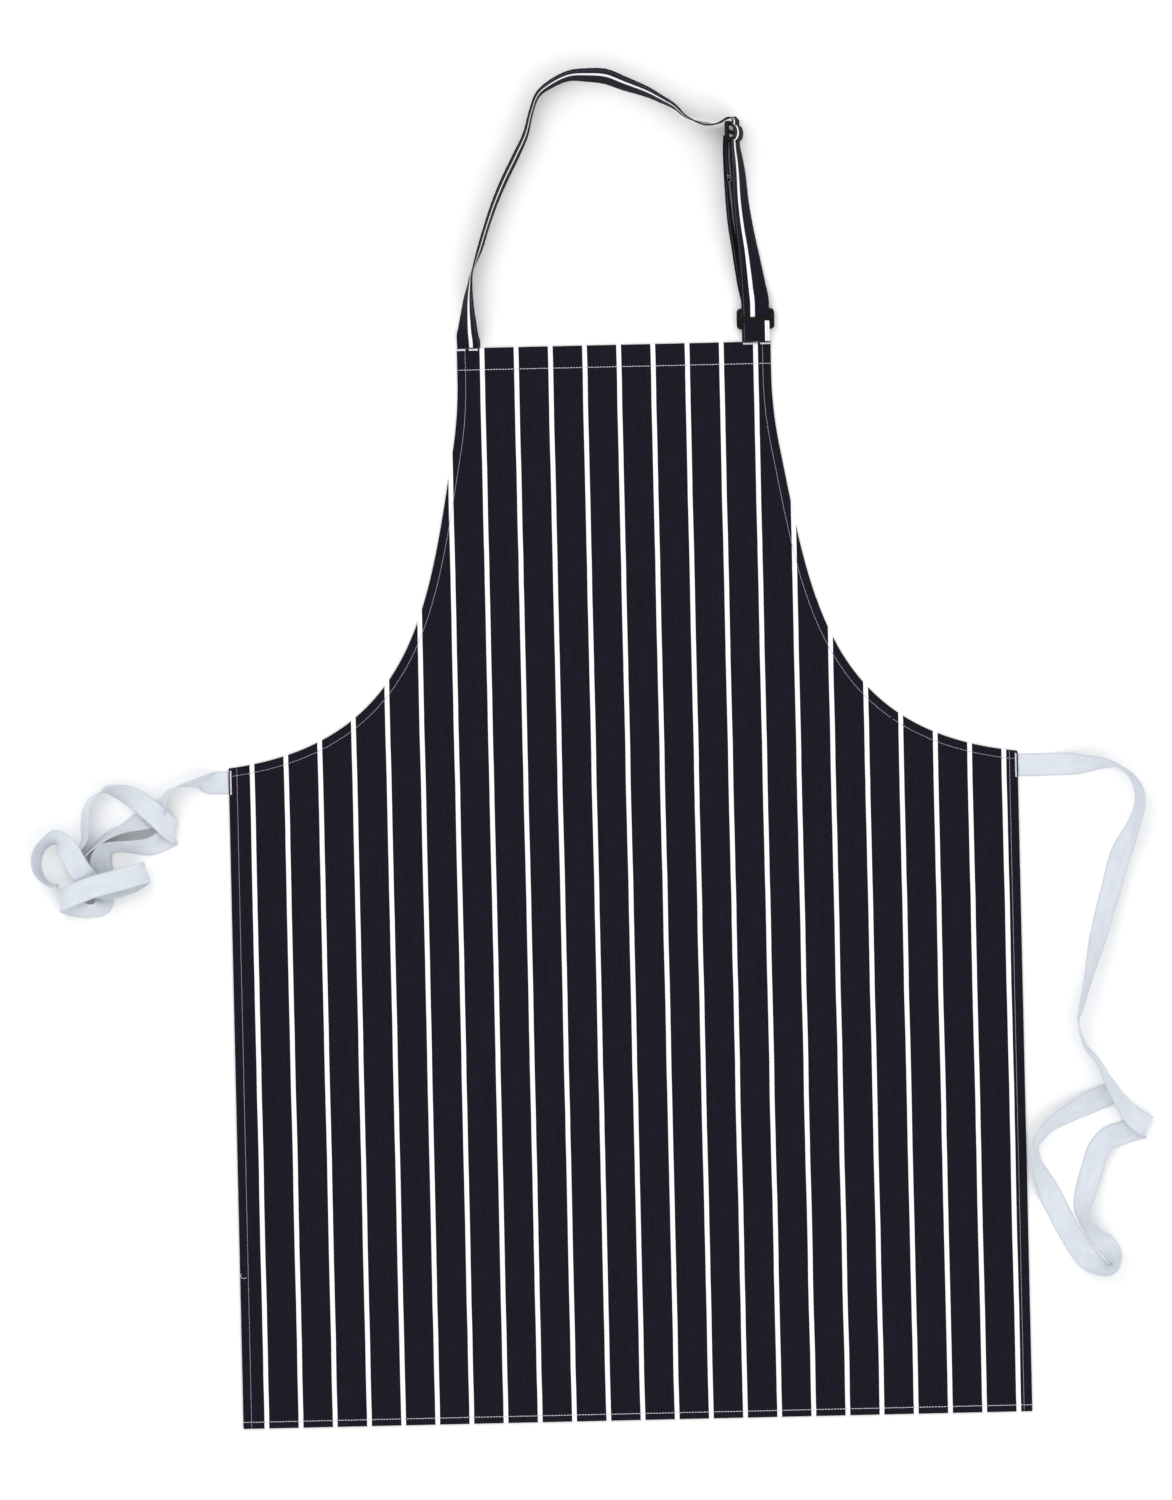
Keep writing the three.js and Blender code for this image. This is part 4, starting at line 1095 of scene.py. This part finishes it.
def buckle_mesh(height):
    """A flat slider with two rounded slots and a middle bar, filled and raised from its outline."""
    bm = bmesh.new()
    slot_height = (height - 3 * BUCKLE_BAR) / 2
    middle = (BUCKLE_BAR + slot_height) / 2
    outline = rounded_rectangle(BUCKLE_LENGTH / 2, height / 2, BUCKLE_CORNER)
    window = rounded_rectangle(BUCKLE_LENGTH / 2 - BUCKLE_SIDE, slot_height / 2, SLOT_CORNER, 4)
    windows = [[(x, y + s * middle) for x, y in window] for s in (-1, 1)]
    edges = []
    for points in [outline, *windows]:
        verts = [bm.verts.new((x, y, -BUCKLE_THICKNESS / 2)) for x, y in points]
        edges += [bm.edges.new((verts[i - 1], verts[i])) for i in range(len(verts))]
    bmesh.ops.triangle_fill(bm, use_beauty=True, use_dissolve=False, edges=edges)
    bmesh.ops.dissolve_limit(bm, angle_limit=0.01, verts=bm.verts, edges=bm.edges)
    lifted = bmesh.ops.extrude_face_region(bm, geom=list(bm.faces))["geom"]
    top = [g for g in lifted if isinstance(g, bmesh.types.BMVert)]
    bmesh.ops.translate(bm, vec=(0, 0, BUCKLE_THICKNESS), verts=top)
    bmesh.ops.recalc_face_normals(bm, faces=bm.faces)
    return bm


def box_middle(node):
    low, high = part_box(node)
    return [(a + b) / 2 for a, b in zip(low, high)]


BEVEL_WIDTH = 0.00055
BAR_PROUD = 0.00012  # how far the bars stand proud of the ends, as on moulded sliders
BAR_REACH = 0.0171


def make_buckle(node, body, lean):
    """A bevelled three-bar buckle in its CAD node's place, turned about Y by its lean in degrees."""
    name = node + "_moulded"
    centre = box_middle(node)
    low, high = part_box(node)
    bm = buckle_mesh(high.y - low.y)
    mesh = bpy.data.meshes.new(name)
    bm.to_mesh(mesh)
    bm.free()
    obj = bpy.data.objects.new(name, mesh)
    bpy.context.scene.collection.objects.link(obj)
    bevel = obj.modifiers.new("edges", "BEVEL")
    bevel.width = BEVEL_WIDTH
    bevel.segments = 3
    bevel.angle_limit = math.radians(50)
    depsgraph = bpy.context.evaluated_depsgraph_get()
    mesh = bpy.data.meshes.new_from_object(obj.evaluated_get(depsgraph))
    obj.modifiers.clear()
    turn = math.radians(lean)
    for v in mesh.vertices:
        x, y, z = v.co
        z += math.copysign(BAR_PROUD, z) * math.cos(min(1, abs(x) / BAR_REACH) * math.pi / 2)
        v.co = (
            centre[0] + x * math.cos(turn) + z * math.sin(turn),
            centre[1] + y,
            centre[2] - x * math.sin(turn) + z * math.cos(turn),
        )
    mesh.polygons.foreach_set("use_smooth", [True] * len(mesh.polygons))
    mesh.update()
    obj.data = mesh
    obj.data.set_sharp_from_angle(angle=math.radians(40))
    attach(obj, body)
    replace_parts(obj, node)
    finish_piece(obj, BLACK_PLASTIC)


def loop_stations(outwards, length):
    """Round one outer bar of the lower buckle: in over it, through the slot and back under it."""
    centre = box_middle("lower_buckle")
    low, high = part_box("lower_buckle")
    bar_y = centre[1] + outwards * ((high.y - low.y) - BUCKLE_BAR) / 2
    rise = BUCKLE_THICKNESS / 2 + LOOP_ROOM + STRAP_THICKNESS / 2
    deep = BUCKLE_BAR / 2 + LOOP_SLACK + STRAP_THICKNESS / 2  # a slack loop that fills the slot
    middle = centre[2] - STRAP_THICKNESS / 2
    stations = [(RIGHT_STRAP_X, bar_y + outwards * length, middle + rise, 180, 0)]
    for i in range(13):
        angle = math.pi * i / 12
        y = bar_y - outwards * deep * math.sin(angle)
        stations.append((RIGHT_STRAP_X, y, middle + rise * math.cos(angle), 180, 0))
    stations.append((RIGHT_STRAP_X, bar_y + outwards * length, middle - rise, 180, 0))
    return stations


LOOP_STEP = 0.0008  # between the cross-sections of a loop


def make_buckle_loops():
    """The tab and the strap, each round one outer bar of the lower buckle."""
    low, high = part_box("lower_buckle")
    bar_y = low.y + BUCKLE_BAR / 2
    stations = loop_stations(-1, bar_y - TOP_Y - GAP)
    frames = ribbon_frames(stations, STRAP_WIDTH, STRAP_THICKNESS, LOOP_STEP)
    both_rows = (STRAP_ROW, -STRAP_ROW)
    lay_strap("buckle_tab_cloth", "buckle_tab", frames, BEND_TAB, material=TAB_CLOTH, rows=both_rows)
    bar_y = high.y - BUCKLE_BAR / 2
    stations = loop_stations(1, RUN_START - bar_y + 0.0002)
    frames = ribbon_frames(stations, STRAP_WIDTH, STRAP_THICKNESS, LOOP_STEP)
    lay_strap("neck_strap_buckle_loop_cloth", "neck_strap_buckle_loop", frames, ("lower_buckle",))


PASS_Y = TOP_Y + 0.1895  # middle of the strap's turn over the slider's middle bar
PASS_LIFT = 0.0058
PASS_SIDE = 0.00226


def make_slider_pass():
    """The strap over the slider's middle bar, bulging to the right."""
    lean = math.radians(SLIDER_LEAN)
    centre = box_middle("strap_slider")
    edge_drop = STRAP_WIDTH / 2 * math.sin(lean) + STRAP_THICKNESS / 2 * math.cos(lean)
    stations = [(centre[0] + PASS_SIDE, PASS_Y + 0.0089, PASS_LIFT, 180, SLIDER_LEAN)]
    for i in range(13):
        angle = math.pi * i / 12
        out = 0.0024 + 0.0036 * math.sin(angle)
        y = PASS_Y + 0.0066 * math.cos(angle)
        x = centre[0] + math.sin(lean) * out
        z = centre[2] + math.cos(lean) * out - edge_drop
        stations.append((x, y, z, 180, SLIDER_LEAN))
    stations.append((centre[0] + PASS_SIDE, PASS_Y - 0.0084, PASS_LIFT, 180, SLIDER_LEAN))
    frames = ribbon_frames(stations, STRAP_WIDTH, STRAP_THICKNESS, 0.0009)
    lay_strap("neck_strap_slider_pass_cloth", "neck_strap_slider_pass", frames, ("slider",))


# ---- floor, lights and camera ----
FLOOR_PALE = (0.93, 0.93, 0.93, 1)
FLOOR_SHADE = (0.92, 0.92, 0.925, 1)
FLOOR_SIDE = 12  # metres, in squares of one metre
FLOOR_DROP = -0.00005
WORLD_STRENGTH = 0.93
CAMERA_PLACE = (-0.0335, 0.0095, 6.0)
CAMERA_ROLL = -1.3  # degrees
CAMERA_LENS = 158.0


def floor_material():
    n = Nodes("pale_floor")
    place = n.put("ShaderNodeTexCoord").outputs["Object"]
    soft = n.noise(place, 3.0, 2.0)
    n.feed(n.shader.inputs["Base Color"], n.mix(n.ramp(soft, 0.3, 0.7), FLOOR_PALE, FLOOR_SHADE))
    n.shader.inputs["Roughness"].default_value = 0.9
    n.shader.inputs["Specular IOR Level"].default_value = 0.2
    return n.material


def make_floor():
    side = FLOOR_SIDE
    places = np.arange(side + 1) - side / 2
    grid = [(x, y, FLOOR_DROP) for y in places for x in places]
    faces = []
    for y in range(side):
        for x in range(side):
            a = y * (side + 1) + x
            faces.append((a, a + 1, a + side + 2, a + side + 1))
    floor = make_object("floor", grid, faces)
    floor.data.materials.append(floor_material())


def area_light(name, place, size, power):
    """A square light that faces the origin."""
    data = bpy.data.lights.new(name, "AREA")
    data.shape = "RECTANGLE"
    data.size = data.size_y = size
    data.energy = power
    light = bpy.data.objects.new(name, data)
    bpy.context.scene.collection.objects.link(light)
    light.location = place
    light.rotation_euler = (-Vector(place)).to_track_quat("-Z", "Y").to_euler()


def make_studio():
    make_floor()
    world = bpy.data.worlds.new("studio")
    world.use_nodes = True
    world.node_tree.nodes["Background"].inputs[0].default_value = (1, 1, 1, 1)
    world.node_tree.nodes["Background"].inputs[1].default_value = WORLD_STRENGTH
    bpy.context.scene.world = world
    area_light("key", (-1.5, 1.8, 2.8), 2.4, 30)
    area_light("fill", (1.6, -1.8, 2.8), 2.6, 24)
    data = bpy.data.cameras.new("camera")
    data.lens = CAMERA_LENS
    data.sensor_width = 36.0
    data.clip_end = 50
    camera = bpy.data.objects.new("camera", data)
    bpy.context.scene.collection.objects.link(camera)
    camera.location = CAMERA_PLACE
    camera.rotation_euler = (0, 0, math.radians(CAMERA_ROLL))
    bpy.context.scene.camera = camera
    bpy.context.scene.view_settings.view_transform = "Standard"


# ---- the apron ----
def make_apron():
    panel = make_panel()
    on_panel = make_hems() + make_stitches()
    make_bartacks()
    on_panel.append(loose_thread())
    make_long_run()
    make_buckle_runs()
    make_tail()
    make_sewn_ends()
    make_buckle_loops()
    make_slider_pass()
    make_ties()
    make_buckle("lower_buckle", "lower_buckle", 0)
    make_buckle("strap_slider", "slider", SLIDER_LEAN)


make_apron()
make_studio()
